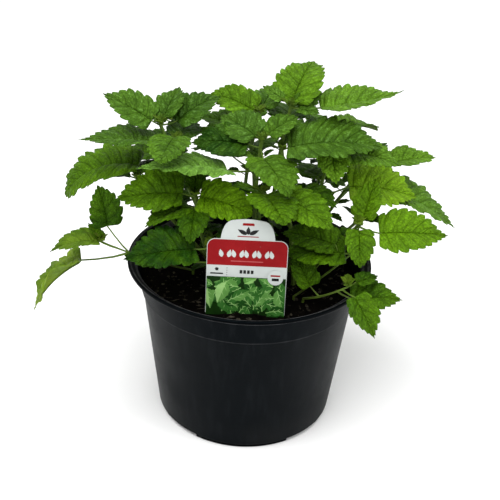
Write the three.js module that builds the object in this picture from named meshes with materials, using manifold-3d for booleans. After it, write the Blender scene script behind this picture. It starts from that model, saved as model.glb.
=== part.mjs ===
// Potted lemon balm: a nursery pot of soil, a plant label and the leafy stems that grow from the soil
// Millimetres, +Z up. The origin is the middle of the pot's underside, on the surface it stands on.
import * as THREE from 'three';
import { mergeVertices } from 'three/addons/utils/BufferGeometryUtils.js';
import Module from 'manifold-3d';

const wasm = await Module();
wasm.setup();

// Pot
const POT_HEIGHT = 116;
const RIM_RADIUS = 82.5;
const RIM_INNER_RADIUS = 80.4;
const RIM_THICKNESS = 2.6;
const RIM_ROUNDING = 0.7;
const COLLAR_TOP_RADIUS = 77.8;
const COLLAR_FOOT_RADIUS = 73.2;
const COLLAR_FOOT_HEIGHT = 93.5;
const BODY_TOP_RADIUS = 72.2;
const BODY_FOOT_RADIUS = 62;
const WALL = 1.6;
const FOOT_RADIUS = 60.5;
const FOOT_HEIGHT = 3;
const FLOOR_THICKNESS = 4.6;
const FOOT_COUNT = 4;
const NOTCH_HALF_ANGLE = 14;
const NOTCH_INNER_RADIUS = 40;
const DRAIN_RADIUS = 4.5;
const DRAIN_CENTRE_RADIUS = 52;
const DRAIN_SIDES = 16;
const POT_SEGMENTS = 44;

// Soil
const SOIL_TOP = 103.4;
const SOIL_EDGE_DROP = 1.2;
const SOIL_RINGS = 3;
const SOIL_SEGMENTS = 28;
const GAP = 0.3;
const SOIL_WALL_GAP = 0.45;

// Lumps on the soil: their height, and waves in radians per millimetre
const LUMP_HEIGHT = 0.25;
const LUMP_WAVE_X = 0.31;
const LUMP_WAVE_Y = 0.27;
const LUMP_SLANT_X = 0.17;
const LUMP_SLANT_Y = -0.23;

// Plant label
const LABEL_WIDTH = 50;
const LABEL_PLATE_HEIGHT = 49;
const LABEL_HEIGHT = 62;
const LABEL_TAB_HALF_WIDTH = 15.7;
const LABEL_TAB_SHOULDER = 16.8;
const LABEL_CORNER = 5;
const LABEL_ARCH_INSET = 5;
const LABEL_ARCH_DROP = 1.2;
const LABEL_SIDE_DROP = 3;
const LABEL_CURVE_STEPS = 6;
const LABEL_THICKNESS = 0.7;
const LABEL_LEAN = 10;
const LABEL_FOOT = [-1.5, -56.5, 105.2];
const STAKE_HALF_WIDTH = 6;
const STAKE_LENGTH = 26;
const STAKE_POINT = 8;

// Stems
const STEM_FOOT_HEIGHT = 106;
const STEM_ROOT_DEPTH = 18;
const STEM_RADIUS = 1.7;
const STEM_TIP_SHARE = 0.7;
const STEM_STEPS = 8;
const STEM_SIDES = 4;
const BUD_LENGTH = 8;
const BUD_RADIUS = 2.2;
const BUD_BELLY_SHARE = 0.4;
const BUD_POINT_RADIUS = 0.4;
const HOLE_SIDES = 6;
const HOLE_RADIUS = STEM_RADIUS / Math.cos(Math.PI / HOLE_SIDES) + GAP;

// Leaves
const PETIOLE_HALF_WIDTH = 0.75;
const PETIOLE_NECK = 2;
const BLADE_THICKNESS = 0.7;
const BLADE_HALF_WIDTH = 0.37;
const BLADE_SKEW = 0.46;
const BLADE_FULLNESS = 0.7;
const BLADE_FOLD = 13;
const NOTCH_DEPTH = 0.87;
const TOOTH_REACH = 1.1;
const TOOTH_LEAN = 0.72;
const ROW_SLANT = 0.16;
const BASE_LOBE = 0.09;
const BASE_LOBE_POWER = 6;
const MM_PER_TOOTH = 7;
const MOST_TEETH = 8;
const LEAST_TEETH = 3;

// Looks
const POT_LOOK = { color: 0x1d1f22, roughness: 0.45 };
const SOIL_LOOK = { color: 0x1c130d, roughness: 0.95 };
const LABEL_LOOK = { color: 0xe9ebe8, roughness: 0.4 };
const LEAF_LOOK = { color: 0x4e8216, roughness: 0.6 };

// Limits under which points are one, a bend is none and a row of points runs along X
const MERGE_LIMIT = 1e-4;
const BEND_LIMIT = 1e-4;
const ALONG_X_LIMIT = 0.1;

// Each leafy stem: its foot on the soil, the point that its bend leans to, its tip, and its leaves.
// A leaf is [place along the stem, heading, petiole, rise of the petiole, blade, pitch, droop, roll, taper],
// lengths in millimetres and angles in degrees, with heading 0 along +X and 90 along +Y. The taper is how
// pointed the blade's tip is, from near 0 for a round one.
const STEMS = [
  ['stem_far_left', [-38, -6], [-64, -25, 121], [-95, -29, 137], [
    [0.72, -167, 31, -6, 49, -47, 42, 18, 1.4],
    [0.72, -170, 24, 56, 29, 80, 15, -72, 0.6],
    [0.85, -166, 13, 28, 32, -10, 40, -2, 1.2],
    [1.0, 150, 3, 60, 12, 40, 0, 0, 0.8],
  ]],
  ['stem_left_up', [-14, -4], [-42, -10, 168], [-60, 0, 207], [
    [1.0, 172, 6, 22, 35, 26, 10, -28, 0.9],
    [0.87, -170, 8, 0, 48, 4, 6, 1, 1.4],
    [1.0, 70, 5, 40, 28, 30, 20, -10, 0.8],
    [1.0, 30, 11, 5, 34, 22, 30, 18, 0.8],
    [0.7, 130, 16, 25, 36, 0, 25, 0, 1.0],
  ]],
  ['stem_left_mid', [-26, 6], [-36, 4, 150], [-50, -2, 197], [
    [0.72, 177, 33, 11, 60, -27, 74, 0, 0.1],
    [1.0, -98, 8, 40, 36, -4, 20, 0, 0.3],
    [1.0, 75, 5, 20, 28, 5, 20, 10, 1.0],
    [0.4, 140, 16, 25, 28, -5, 25, 0, 1.0],
  ]],
  ['stem_front_left', [-18, -26], [-34, -24, 140], [-36, -20, 168], [
    [1.0, 180, 8, 10, 44, -8, 20, -24, 1.0],
    [0.85, -152, 7, 20, 30, -16, 25, -5, 0.9],
    [1.0, -18, 3, 5, 36, -10, 25, 38, 0.1],
    [1.0, 95, 4, 45, 18, 40, 0, 0, 1.0],
    [0.9, -92, 8, 5, 28, -22, 20, 0, 0.6],
  ]],
  ['stem_low_left', [-24, -44], [-22, -44, 128], [-26, -44, 144], [
    [1.0, -166, 8, 0, 45, -4, 15, -17, 0.8],
    [0.7, 168, 26, 0, 32, -8, 25, -20, 0.8],
  ]],
  ['stem_top_back', [-6, 18], [-8, 26, 165], [2, 20, 210], [
    [1.0, 160, 4, 25, 32, 12, 25, -30, 0.3],
    [1.0, 70, 5, 35, 28, 15, 20, 0, 1.0],
    [0.8, 163, 8, 30, 33, 12, 25, -15, 1.0],
    [0.6, 150, 14, 20, 34, -5, 25, 0, 1.0],
  ]],
  ['stem_centre', [4, -8], [0, -10, 160], [4, -10, 203], [
    [1.0, 138, 5, 25, 33, 9, 15, -30, 0.9],
    [1.0, 33, 6, 40, 24, 20, 20, 15, 0.7],
    [0.95, 172, 8, 12, 37, -4, 20, -28, 0.8],
    [0.95, -66, 7, -48, 42, -12, 20, 0, 0.9],
    [0.78, -161, 20, 4, 59, 7, 12, 5, 1.2],
    [0.35, -125, 12, 10, 28, -5, 25, 0, 1.0],
  ]],
  ['stem_top_right', [14, 16], [12, 18, 170], [22, 16, 217], [
    [1.0, 68, 3, 45, 43, 26, 46, 0, 0.4],
    [1.0, 160, 7, 40, 16, 25, 0, -20, 0.6],
    [1.0, 18, 4, 20, 18, 22, 0, 60, 0.6],
    [1.0, -25, 5, 0, 15, 0, 0, 20, 0.6],
    [1.0, 5, 19, 0, 55, 14, -22, 4, 1.5],
    [0.8, 80, 14, 25, 42, -5, 25, 0, 1.0],
  ]],
  ['stem_right_up', [24, -6], [44, -6, 160], [48, -1, 196], [
    [1.0, -14, 9, 0, 36, -6, 20, 20, 0.6],
    [1.0, -84, 4, 30, 28, -28, 10, 0, 0.8],
    [0.6, 2, 21, 22, 46, -8, 25, 30, 0.7],
    [0.6, 90, 16, 20, 38, -7, 25, 0, 1.0],
  ]],
  ['stem_right_top', [30, -14], [25, -11, 160], [17, -7, 197], [
    [1.0, -2, 4, 20, 60, 4, 28, 12, 0.5],
    [0.65, -34, 12, 20, 26, -8, 20, 10, 1.0],
  ]],
  ['stem_right_mid', [32, 18], [58, 22, 150], [70, 20, 172], [
    [1.0, -10, 18, -34, 59, -22, 30, 2, 1.2],
    [1.0, 12, 22, 16, 33, 6, 10, 5, 0.9],
    [1.0, 75, 12, 30, 38, 0, 25, 0, 1.0],
    [0.6, 40, 16, 30, 38, -10, 25, 0, 1.0],
  ]],
  ['stem_right_low', [38, -12], [58, -15, 142], [67, -32, 158], [
    [1.0, -4, 14, -15, 43, 3, 10, 31, 1.0],
    [1.0, 57, 7, 30, 26, 62, 10, 0, 0.5],
    [1.0, -88, 4, -12, 25, -40, 20, 0, 0.5],
  ]],
  ['stem_front_right', [10, -30], [2, -28, 145], [6, -24, 174], [
    [1.0, -72, 6, 10, 38, -2, 20, 0, 0.2],
    [1.0, -32, 16, 8, 38, -18, 20, 15, 0.7],
    [1.0, -150, 5, 30, 18, 20, 20, 0, 1.0],
  ]],
  ['stem_soil_right', [36, -36], [46, -52, 116], [61, -58, 129], [
    [0.8, -6, 10, -25, 32, 5, 20, 24, 1.2],
    [0.9, -51, 11, 0, 28, -43, 15, 6, 1.2],
    [1.0, 20, 6, 25, 15, 10, 0, 20, 0.8],
    [0.42, 135, 9, 25, 23, 45, 10, -25, 0.3],
  ]],
  ['stem_low_right', [30, -34], [46, -35, 120], [64, -37, 141], [
    [1.0, 178, 4, 0, 40, -4, 15, -18, 1.0],
    [0.85, 165, 12, 65, 36, 4, 20, -20, 1.0],
  ]],
  ['stem_back_left', [-28, 34], [-46, 48, 150], [-56, 56, 186], [
    [1.0, 160, 8, 25, 40, 0, 25, 0, 1.0],
    [1.0, -45, 6, 30, 26, 25, 25, 0, 1.0],
    [0.9, 80, 12, 25, 44, -10, 25, 0, 1.0],
    [0.6, 158, 20, 20, 44, -12, 25, 0, 1.0],
    [0.35, 100, 20, 20, 42, -20, 25, 0, 1.0],
  ]],
  ['stem_back_mid', [2, 42], [2, 58, 150], [-4, 66, 184], [
    [1.0, 100, 8, 25, 42, 0, 25, 0, 1.0],
    [0.9, 5, 8, 25, 38, -10, 25, 0, 1.0],
    [0.9, 175, 8, 25, 40, -10, 25, 0, 1.0],
    [0.6, 90, 20, 20, 46, -15, 25, 0, 1.0],
  ]],
  ['stem_back_right', [32, 36], [48, 50, 150], [54, 54, 188], [
    [1.0, 35, 8, 20, 36, -16, 25, 0, 1.0],
    [1.0, 200, 6, 30, 26, 25, 25, 0, 1.0],
    [0.9, 90, 12, 25, 44, -10, 25, 0, 1.0],
    [0.6, 10, 20, 20, 46, -15, 25, 0, 1.0],
    [0.4, 80, 20, 20, 46, -20, 25, 0, 1.0],
  ]],
  ['stem_side_left', [-30, 14], [-58, 22, 132], [-80, 28, 157], [
    [1.0, 165, 8, 10, 28, -10, 30, -5, 1.0],
    [1.0, -170, 4, 20, 18, 5, 20, 0, 1.0],
    [0.9, 100, 12, 25, 36, -10, 25, 0, 1.0],
    [0.5, 130, 12, 20, 30, -10, 25, 0, 1.0],
  ]],
  ['stem_side_right', [40, 10], [66, 20, 128], [88, 30, 146], [
    [1.0, 24, 8, 10, 40, -18, 30, 5, 1.0],
    [1.0, 115, 8, 30, 30, -5, 20, 0, 1.0],
  ]],
];

const rad = THREE.MathUtils.degToRad;

// Solids and booleans
function toSolid(geometry) {
  const bare = geometry.clone();
  bare.deleteAttribute('normal');
  bare.deleteAttribute('uv');
  const merged = mergeVertices(bare, MERGE_LIMIT);
  return new wasm.Manifold(new wasm.Mesh({
    numProp: 3,
    vertProperties: new Float32Array(merged.attributes.position.array),
    triVerts: new Uint32Array(merged.index.array),
  }));
}

function toGeometry(solid) {
  const mesh = solid.getMesh();
  const geometry = new THREE.BufferGeometry();
  geometry.setAttribute('position', new THREE.BufferAttribute(mesh.vertProperties, 3));
  geometry.setIndex(new THREE.BufferAttribute(mesh.triVerts, 1));
  geometry.computeVertexNormals();
  return geometry;
}

function fromTriangles(points, triangles) {
  const numbers = points.flatMap((point) => point.toArray());
  const geometry = new THREE.BufferGeometry();
  geometry.setAttribute('position', new THREE.Float32BufferAttribute(numbers, 3));
  geometry.setIndex(triangles.flat());
  return geometry;
}

function named(name, solid, look) {
  const mesh = new THREE.Mesh(toGeometry(solid), new THREE.MeshStandardMaterial({ ...look, metalness: 0 }));
  mesh.name = name;
  return mesh;
}

// A profile of radii and heights turned about +Z
function turned(profile, segments) {
  const geometry = new THREE.LatheGeometry(profile.map(([r, z]) => new THREE.Vector2(r, z)), segments);
  geometry.rotateX(Math.PI / 2);
  return geometry;
}

// The radius of the pot's outer wall at a height, under the collar and on it
function bodyRadius(height) {
  const share = (height - FOOT_HEIGHT) / (COLLAR_FOOT_HEIGHT - FOOT_HEIGHT);
  return THREE.MathUtils.lerp(BODY_FOOT_RADIUS, BODY_TOP_RADIUS, share);
}

function collarRadius(height) {
  const share = (height - COLLAR_FOOT_HEIGHT) / (POT_HEIGHT - RIM_THICKNESS - COLLAR_FOOT_HEIGHT);
  return THREE.MathUtils.lerp(COLLAR_FOOT_RADIUS, COLLAR_TOP_RADIUS, share);
}

// Pot
function potSolid() {
  const ringUnderside = POT_HEIGHT - RIM_THICKNESS;
  const profile = [
    [0, 0],
    [FOOT_RADIUS, 0],
    [FOOT_RADIUS, FOOT_HEIGHT],
    [BODY_FOOT_RADIUS - RIM_ROUNDING, FOOT_HEIGHT],
    [BODY_FOOT_RADIUS, FOOT_HEIGHT + RIM_ROUNDING],
    [BODY_TOP_RADIUS, COLLAR_FOOT_HEIGHT - RIM_ROUNDING],
    [COLLAR_FOOT_RADIUS, COLLAR_FOOT_HEIGHT],
    [COLLAR_TOP_RADIUS, ringUnderside - RIM_ROUNDING],
    [RIM_RADIUS - RIM_ROUNDING, ringUnderside],
    [RIM_RADIUS, ringUnderside + RIM_ROUNDING],
    [RIM_RADIUS, POT_HEIGHT - RIM_ROUNDING],
    [RIM_RADIUS - RIM_ROUNDING, POT_HEIGHT],
    [RIM_INNER_RADIUS, POT_HEIGHT],
    [COLLAR_TOP_RADIUS - WALL, ringUnderside - RIM_ROUNDING],
    [COLLAR_FOOT_RADIUS - WALL, COLLAR_FOOT_HEIGHT],
    [BODY_TOP_RADIUS - WALL, COLLAR_FOOT_HEIGHT - 2 * RIM_ROUNDING],
    [bodyRadius(FLOOR_THICKNESS) - WALL, FLOOR_THICKNESS],
    [0, FLOOR_THICKNESS],
  ];
  let pot = toSolid(turned(profile, POT_SEGMENTS));
  for (let foot = 0; foot < FOOT_COUNT; foot += 1) {
    const middle = ((foot + 0.5) / FOOT_COUNT) * 360;
    pot = pot.subtract(notchSolid(middle)).subtract(drainSolid(middle));
  }
  return pot;
}

// The channel under the floor that parts two feet
function notchSolid(middle) {
  const shape = new THREE.Shape();
  const start = rad(middle - NOTCH_HALF_ANGLE);
  const end = rad(middle + NOTCH_HALF_ANGLE);
  shape.moveTo(NOTCH_INNER_RADIUS * Math.cos(start), NOTCH_INNER_RADIUS * Math.sin(start));
  shape.lineTo(RIM_RADIUS * Math.cos(start), RIM_RADIUS * Math.sin(start));
  shape.lineTo(RIM_RADIUS * Math.cos(end), RIM_RADIUS * Math.sin(end));
  shape.lineTo(NOTCH_INNER_RADIUS * Math.cos(end), NOTCH_INNER_RADIUS * Math.sin(end));
  shape.closePath();
  const geometry = new THREE.ExtrudeGeometry(shape, { depth: 2 * FOOT_HEIGHT, bevelEnabled: false });
  geometry.translate(0, 0, -FOOT_HEIGHT);
  return toSolid(geometry);
}

function drainSolid(middle) {
  const geometry = new THREE.CylinderGeometry(DRAIN_RADIUS, DRAIN_RADIUS, 4 * FLOOR_THICKNESS, DRAIN_SIDES);
  geometry.rotateX(Math.PI / 2);
  geometry.translate(DRAIN_CENTRE_RADIUS, 0, 0);
  geometry.rotateZ(rad(middle));
  return toSolid(geometry);
}

// Soil, its top a little mounded and lumpy
function soilSolid() {
  const inset = WALL + SOIL_WALL_GAP;
  const edgeHeight = SOIL_TOP - SOIL_EDGE_DROP;
  const edgeRadius = collarRadius(edgeHeight) - inset;
  const profile = [
    [0, FLOOR_THICKNESS + GAP],
    [bodyRadius(FLOOR_THICKNESS) - inset, FLOOR_THICKNESS + GAP],
    [BODY_TOP_RADIUS - inset, COLLAR_FOOT_HEIGHT - 2 * RIM_ROUNDING],
    [COLLAR_FOOT_RADIUS - inset, COLLAR_FOOT_HEIGHT + RIM_ROUNDING],
    [edgeRadius, edgeHeight],
  ];
  for (let ring = SOIL_RINGS - 1; ring >= 0; ring -= 1) {
    const share = ring / SOIL_RINGS;
    profile.push([edgeRadius * share, SOIL_TOP - SOIL_EDGE_DROP * share ** 2]);
  }
  const geometry = turned(profile, SOIL_SEGMENTS);
  const position = geometry.attributes.position;
  for (let i = 0; i < position.count; i += 1) {
    const x = position.getX(i);
    const y = position.getY(i);
    const z = position.getZ(i);
    if (z > edgeHeight + GAP / 2) {
      const lump = Math.sin(x * LUMP_WAVE_X) * Math.cos(y * LUMP_WAVE_Y);
      const slant = Math.sin(x * LUMP_SLANT_X + y * LUMP_SLANT_Y);
      position.setZ(i, z + LUMP_HEIGHT * (lump + slant));
    }
  }
  return toSolid(geometry);
}

// Plant label: a plate with an arched tab, on a pointed stake
function labelOutline(grow) {
  const half = LABEL_WIDTH / 2;
  const stake = STAKE_HALF_WIDTH + grow;
  const cornerX = half - LABEL_CORNER;
  const cornerHeight = LABEL_PLATE_HEIGHT - LABEL_CORNER;
  const sideHeight = LABEL_HEIGHT - LABEL_SIDE_DROP;
  const archX = LABEL_TAB_HALF_WIDTH - LABEL_ARCH_INSET;
  const archHeight = LABEL_HEIGHT - LABEL_ARCH_DROP;
  const shape = new THREE.Shape();
  shape.moveTo(-stake, 0);
  shape.lineTo(-half, 0);
  shape.lineTo(-half, cornerHeight);
  shape.absarc(-cornerX, cornerHeight, LABEL_CORNER, Math.PI, Math.PI / 2, true);
  shape.lineTo(-LABEL_TAB_SHOULDER, LABEL_PLATE_HEIGHT);
  shape.quadraticCurveTo(-LABEL_TAB_HALF_WIDTH, sideHeight, -archX, archHeight);
  shape.quadraticCurveTo(0, LABEL_HEIGHT + LABEL_ARCH_DROP, archX, archHeight);
  shape.quadraticCurveTo(LABEL_TAB_HALF_WIDTH, sideHeight, LABEL_TAB_SHOULDER, LABEL_PLATE_HEIGHT);
  shape.lineTo(cornerX, LABEL_PLATE_HEIGHT);
  shape.absarc(cornerX, cornerHeight, LABEL_CORNER, Math.PI / 2, 0, true);
  shape.lineTo(half, 0);
  shape.lineTo(stake, 0);
  shape.lineTo(stake, -STAKE_LENGTH + STAKE_POINT);
  shape.lineTo(0, -STAKE_LENGTH - grow);
  shape.lineTo(-stake, -STAKE_LENGTH + STAKE_POINT);
  shape.closePath();
  return shape;
}

function labelSolid(grow) {
  const depth = LABEL_THICKNESS + 2 * grow;
  const settings = { depth, bevelEnabled: false, curveSegments: LABEL_CURVE_STEPS };
  const geometry = new THREE.ExtrudeGeometry(labelOutline(grow), settings);
  geometry.translate(0, 0, -depth / 2);
  geometry.rotateX(Math.PI / 2 - rad(LABEL_LEAN));
  geometry.translate(...LABEL_FOOT);
  return toSolid(geometry);
}

// A tube through a row of points with a few flat sides, its ends closed
function tubeSolid(points, radii, sides, turn) {
  const vertices = [];
  const triangles = [];
  const across = new THREE.Vector3();
  const up = new THREE.Vector3();
  points.forEach((point, step) => {
    const before = points[Math.max(step - 1, 0)];
    const after = points[Math.min(step + 1, points.length - 1)];
    const along = after.clone().sub(before).normalize();
    if (step === 0) {
      across.set(1, 0, 0).cross(along);
      if (across.length() < ALONG_X_LIMIT) across.set(0, 1, 0).cross(along);
    }
    across.addScaledVector(along, -across.dot(along)).normalize();
    up.crossVectors(along, across);
    for (let side = 0; side < sides; side += 1) {
      const angle = turn + (side / sides) * 2 * Math.PI;
      vertices.push(point.clone()
        .addScaledVector(across, radii[step] * Math.cos(angle))
        .addScaledVector(up, radii[step] * Math.sin(angle)));
    }
  });
  for (let step = 0; step + 1 < points.length; step += 1) {
    for (let side = 0; side < sides; side += 1) {
      const a = step * sides + side;
      const b = step * sides + ((side + 1) % sides);
      triangles.push([a, b, b + sides], [a, b + sides, a + sides]);
    }
  }
  const last = (points.length - 1) * sides;
  for (let side = 1; side + 1 < sides; side += 1) {
    triangles.push([0, side + 1, side], [last, last + side, last + side + 1]);
  }
  return toSolid(fromTriangles(vertices, triangles));
}

// The place of a share of the way along a stem's bend
function stemPoint(foot, lean, tip, share) {
  const curve = new THREE.QuadraticBezierCurve3(
    new THREE.Vector3(foot[0], foot[1], STEM_FOOT_HEIGHT),
    new THREE.Vector3(...lean),
    new THREE.Vector3(...tip),
  );
  return curve.getPoint(share);
}

// A stem from its root in the soil to the closed bud at its tip
function stemSolid(foot, lean, tip) {
  const points = [new THREE.Vector3(foot[0], foot[1], STEM_FOOT_HEIGHT - STEM_ROOT_DEPTH)];
  const radii = [STEM_RADIUS];
  for (let step = 0; step <= STEM_STEPS; step += 1) {
    const share = step / STEM_STEPS;
    points.push(stemPoint(foot, lean, tip, share));
    radii.push(STEM_RADIUS * (1 - (1 - STEM_TIP_SHARE) * share));
  }
  const end = new THREE.Vector3(...tip);
  const along = end.clone().sub(new THREE.Vector3(...lean)).normalize();
  points.push(end.clone().addScaledVector(along, BUD_BELLY_SHARE * BUD_LENGTH));
  points.push(end.clone().addScaledVector(along, BUD_LENGTH));
  radii.push(BUD_RADIUS, BUD_POINT_RADIUS);
  return tubeSolid(points, radii, STEM_SIDES, Math.PI / 4);
}

// The leaf's midrib is an arc that starts at the base and bends down by the droop. At each share of its
// length this gives the point, the way along, the way across to the left and the way up from the blade.
function bladeFrame(base, heading, pitch, droop, roll, blade) {
  const turn = rad(heading);
  const bend = rad(droop);
  const start = rad(pitch) + bend / 2;
  const forward = new THREE.Vector3(Math.cos(turn), Math.sin(turn), 0);
  return (share) => {
    const slope = start - bend * share;
    let run = blade * share * Math.cos(start);
    let lift = blade * share * Math.sin(start);
    if (Math.abs(bend) > BEND_LIMIT) {
      run = (blade / bend) * (Math.sin(start) - Math.sin(slope));
      lift = (blade / bend) * (Math.cos(slope) - Math.cos(start));
    }
    const point = base.clone().addScaledVector(forward, run);
    point.z += lift;
    const along = forward.clone().multiplyScalar(Math.cos(slope));
    along.z = Math.sin(slope);
    const across = new THREE.Vector3(-Math.sin(turn), Math.cos(turn), 0).applyAxisAngle(along, rad(roll));
    const up = new THREE.Vector3().crossVectors(along, across);
    return { point, along, across, up };
  };
}

function halfWidth(share, blade, taper) {
  const power = BLADE_FULLNESS + taper * share;
  return BLADE_HALF_WIDTH * blade * Math.sin(Math.PI * share ** BLADE_SKEW) ** power;
}

// One point of the blade's edge, from the share of the row that it ends, its side and its reach
function edgePoint(frameAt, blade, taper, share, side, reach) {
  const slant = ROW_SLANT * Math.sin(Math.PI * share) - BASE_LOBE * (1 - share) ** BASE_LOBE_POWER;
  const { point, across, up } = frameAt(Math.min(share + slant, 1));
  const width = halfWidth(share, blade, taper) * reach;
  const centre = point.clone();
  centre.addScaledVector(across, side * width * Math.cos(rad(BLADE_FOLD)));
  centre.addScaledVector(up, width * Math.sin(rad(BLADE_FOLD)));
  return { centre, up };
}

function teethOf(blade) {
  return THREE.MathUtils.clamp(Math.round(blade / MM_PER_TOOTH), LEAST_TEETH, MOST_TEETH);
}

// A leaf in one body: a four-sided petiole that starts inside the stem, and a thin toothed blade whose
// upper and lower faces are split into triangles alike
function leafSolid(root, [, heading, petiole, rise, blade, pitch, droop, roll, taper]) {
  const reach = new THREE.Vector3(
    Math.cos(rad(rise)) * Math.cos(rad(heading)),
    Math.cos(rad(rise)) * Math.sin(rad(heading)),
    Math.sin(rad(rise)),
  );
  const base = root.clone().addScaledVector(reach, petiole);
  const frameAt = bladeFrame(base, heading, pitch, droop, roll, blade);
  const teeth = teethOf(blade);
  const centres = [];
  const ups = [];
  const halves = [];
  const add = (centre, up, half) => {
    centres.push(centre);
    ups.push(up);
    halves.push(half);
    return centres.length - 1;
  };
  const addEdge = (share, side, depth) => {
    const { centre, up } = edgePoint(frameAt, blade, taper, share, side, depth);
    return add(centre, up, BLADE_THICKNESS / 2);
  };

  // Rows of two across the petiole, the last at the blade's base
  const { across, up: baseUp } = frameAt(0);
  const neck = root.clone().addScaledVector(reach, petiole - Math.min(PETIOLE_NECK, petiole / 2));
  const rows = [[root, PETIOLE_HALF_WIDTH], [neck, PETIOLE_HALF_WIDTH], [base, BLADE_THICKNESS / 2]];
  const pairs = rows.map(([middle, half]) => [1, -1].map((side) => (
    add(middle.clone().addScaledVector(across, side * PETIOLE_HALF_WIDTH), baseUp, half)
  )));

  const midrib = [];
  for (let row = 1; row <= teeth; row += 1) {
    const { point, up } = frameAt(row / teeth);
    midrib[row] = add(point, up, BLADE_THICKNESS / 2);
  }
  const upper = [];
  const rim = [];
  const [[rootLeft, rootRight], [neckLeft, neckRight], [baseLeft, baseRight]] = pairs;
  upper.push([rootLeft, rootRight, neckRight], [rootLeft, neckRight, neckLeft]);
  upper.push([neckLeft, neckRight, baseRight], [neckLeft, baseRight, baseLeft]);
  upper.push([baseLeft, baseRight, midrib[1]]);
  [1, -1].forEach((side, i) => {
    const face = (a, b, c) => upper.push(side > 0 ? [a, c, b] : [a, b, c]);
    const edge = pairs.map((pair) => pair[i]);
    let notch = edge[2];
    for (let row = 0; row < teeth; row += 1) {
      const inner = midrib[Math.max(row, 1)];
      const tooth = addEdge((row + TOOTH_LEAN) / teeth, side, TOOTH_REACH);
      const next = row === teeth - 1 ? midrib[teeth] : addEdge((row + 1) / teeth, side, NOTCH_DEPTH);
      face(inner, notch, tooth);
      face(inner, tooth, next);
      if (row > 0 && row < teeth - 1) face(inner, next, midrib[row + 1]);
      edge.push(tooth, next);
      notch = next;
    }
    for (let k = 0; k + 1 < edge.length; k += 1) {
      rim.push(side > 0 ? [edge[k + 1], edge[k]] : [edge[k], edge[k + 1]]);
    }
  });
  rim.push([rootLeft, rootRight]);

  const count = centres.length;
  const points = [
    ...centres.map((centre, i) => centre.clone().addScaledVector(ups[i], halves[i])),
    ...centres.map((centre, i) => centre.clone().addScaledVector(ups[i], -halves[i])),
  ];
  const triangles = [
    ...upper,
    ...upper.map(([a, b, c]) => [a + count, c + count, b + count]),
    ...rim.flatMap(([a, b]) => [[b, a, a + count], [b, a + count, b + count]]),
  ];
  return toSolid(fromTriangles(points, triangles));
}

function leafyStem([, foot, lean, tip, leaves]) {
  let solid = stemSolid(foot, lean, tip);
  for (const leaf of leaves) solid = solid.add(leafSolid(stemPoint(foot, lean, tip, leaf[0]), leaf));
  return solid;
}

function holeSolid(foot) {
  const geometry = new THREE.CylinderGeometry(HOLE_RADIUS, HOLE_RADIUS, 2 * STEM_ROOT_DEPTH, HOLE_SIDES);
  geometry.rotateX(Math.PI / 2);
  geometry.translate(foot[0], foot[1], STEM_FOOT_HEIGHT - GAP);
  return toSolid(geometry);
}

// The whole plant in its pot
const plant = new THREE.Group();

let soil = soilSolid().subtract(labelSolid(GAP));
for (const [, foot] of STEMS) soil = soil.subtract(holeSolid(foot));

plant.add(named('pot', potSolid(), POT_LOOK));
plant.add(named('soil', soil, SOIL_LOOK));
plant.add(named('plant_label', labelSolid(0), LABEL_LOOK));
for (const stem of STEMS) plant.add(named(stem[0], leafyStem(stem), LEAF_LOOK));

export default plant;
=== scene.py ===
import math
import random

import bpy
import numpy as np
from mathutils import Matrix, Vector, noise


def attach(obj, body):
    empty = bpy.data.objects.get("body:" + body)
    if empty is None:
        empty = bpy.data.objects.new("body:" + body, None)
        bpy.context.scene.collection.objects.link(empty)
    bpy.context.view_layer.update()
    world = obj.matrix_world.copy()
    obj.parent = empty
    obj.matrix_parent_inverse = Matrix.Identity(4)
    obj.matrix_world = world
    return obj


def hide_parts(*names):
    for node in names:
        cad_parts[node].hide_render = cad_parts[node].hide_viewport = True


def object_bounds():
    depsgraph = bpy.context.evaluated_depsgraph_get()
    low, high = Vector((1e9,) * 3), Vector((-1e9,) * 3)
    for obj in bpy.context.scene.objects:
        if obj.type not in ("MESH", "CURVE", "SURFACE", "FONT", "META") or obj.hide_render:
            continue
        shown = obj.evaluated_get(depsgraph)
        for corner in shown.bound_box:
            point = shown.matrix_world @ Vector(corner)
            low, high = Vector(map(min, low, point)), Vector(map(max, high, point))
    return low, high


bl_info = {
    "name": "Potted Lemon Balm",
    "version": (1, 0, 0),
    "blender": (4, 5, 0),
    "location": "View3D > Sidebar > Herb",
    "description": "Dresses a packed model of a potted lemon balm with leaves, soil, label and pot",
    "category": "Object",
}

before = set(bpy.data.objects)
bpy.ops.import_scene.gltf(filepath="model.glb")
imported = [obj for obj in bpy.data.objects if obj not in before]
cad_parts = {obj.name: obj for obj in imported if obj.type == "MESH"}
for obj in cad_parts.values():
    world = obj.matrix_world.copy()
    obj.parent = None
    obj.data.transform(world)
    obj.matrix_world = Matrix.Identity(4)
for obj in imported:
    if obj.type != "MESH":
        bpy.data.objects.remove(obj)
CAD_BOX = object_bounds()

# Units
MM = 0.001
WELD_DISTANCE = 0.002
END_WELD_DISTANCE = 0.004

# Pot, in millimetres: rings of radius and height from the foot up the outside and down the inside
POT_HEIGHT = 116
RIM_RADIUS = 82.5
RIM_INNER_RADIUS = 80.4
RIM_THICKNESS = 2.6
COLLAR_TOP_RADIUS = 77.8
COLLAR_FOOT_RADIUS = 73.2
COLLAR_FOOT_HEIGHT = 93.5
BODY_TOP_RADIUS = 72.2
BODY_FOOT_RADIUS = 62
WALL = 1.6
FOOT_RADIUS = 60.5
FOOT_HEIGHT = 3
FLOOR_THICKNESS = 4.6
FOOT_COUNT = 4
NOTCH_HALF_ANGLE = 14
NOTCH_INNER_RADIUS = 40
DRAIN_RADIUS = 4.5
DRAIN_CENTRE_RADIUS = 52
CREASE_ANGLE = 32

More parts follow.
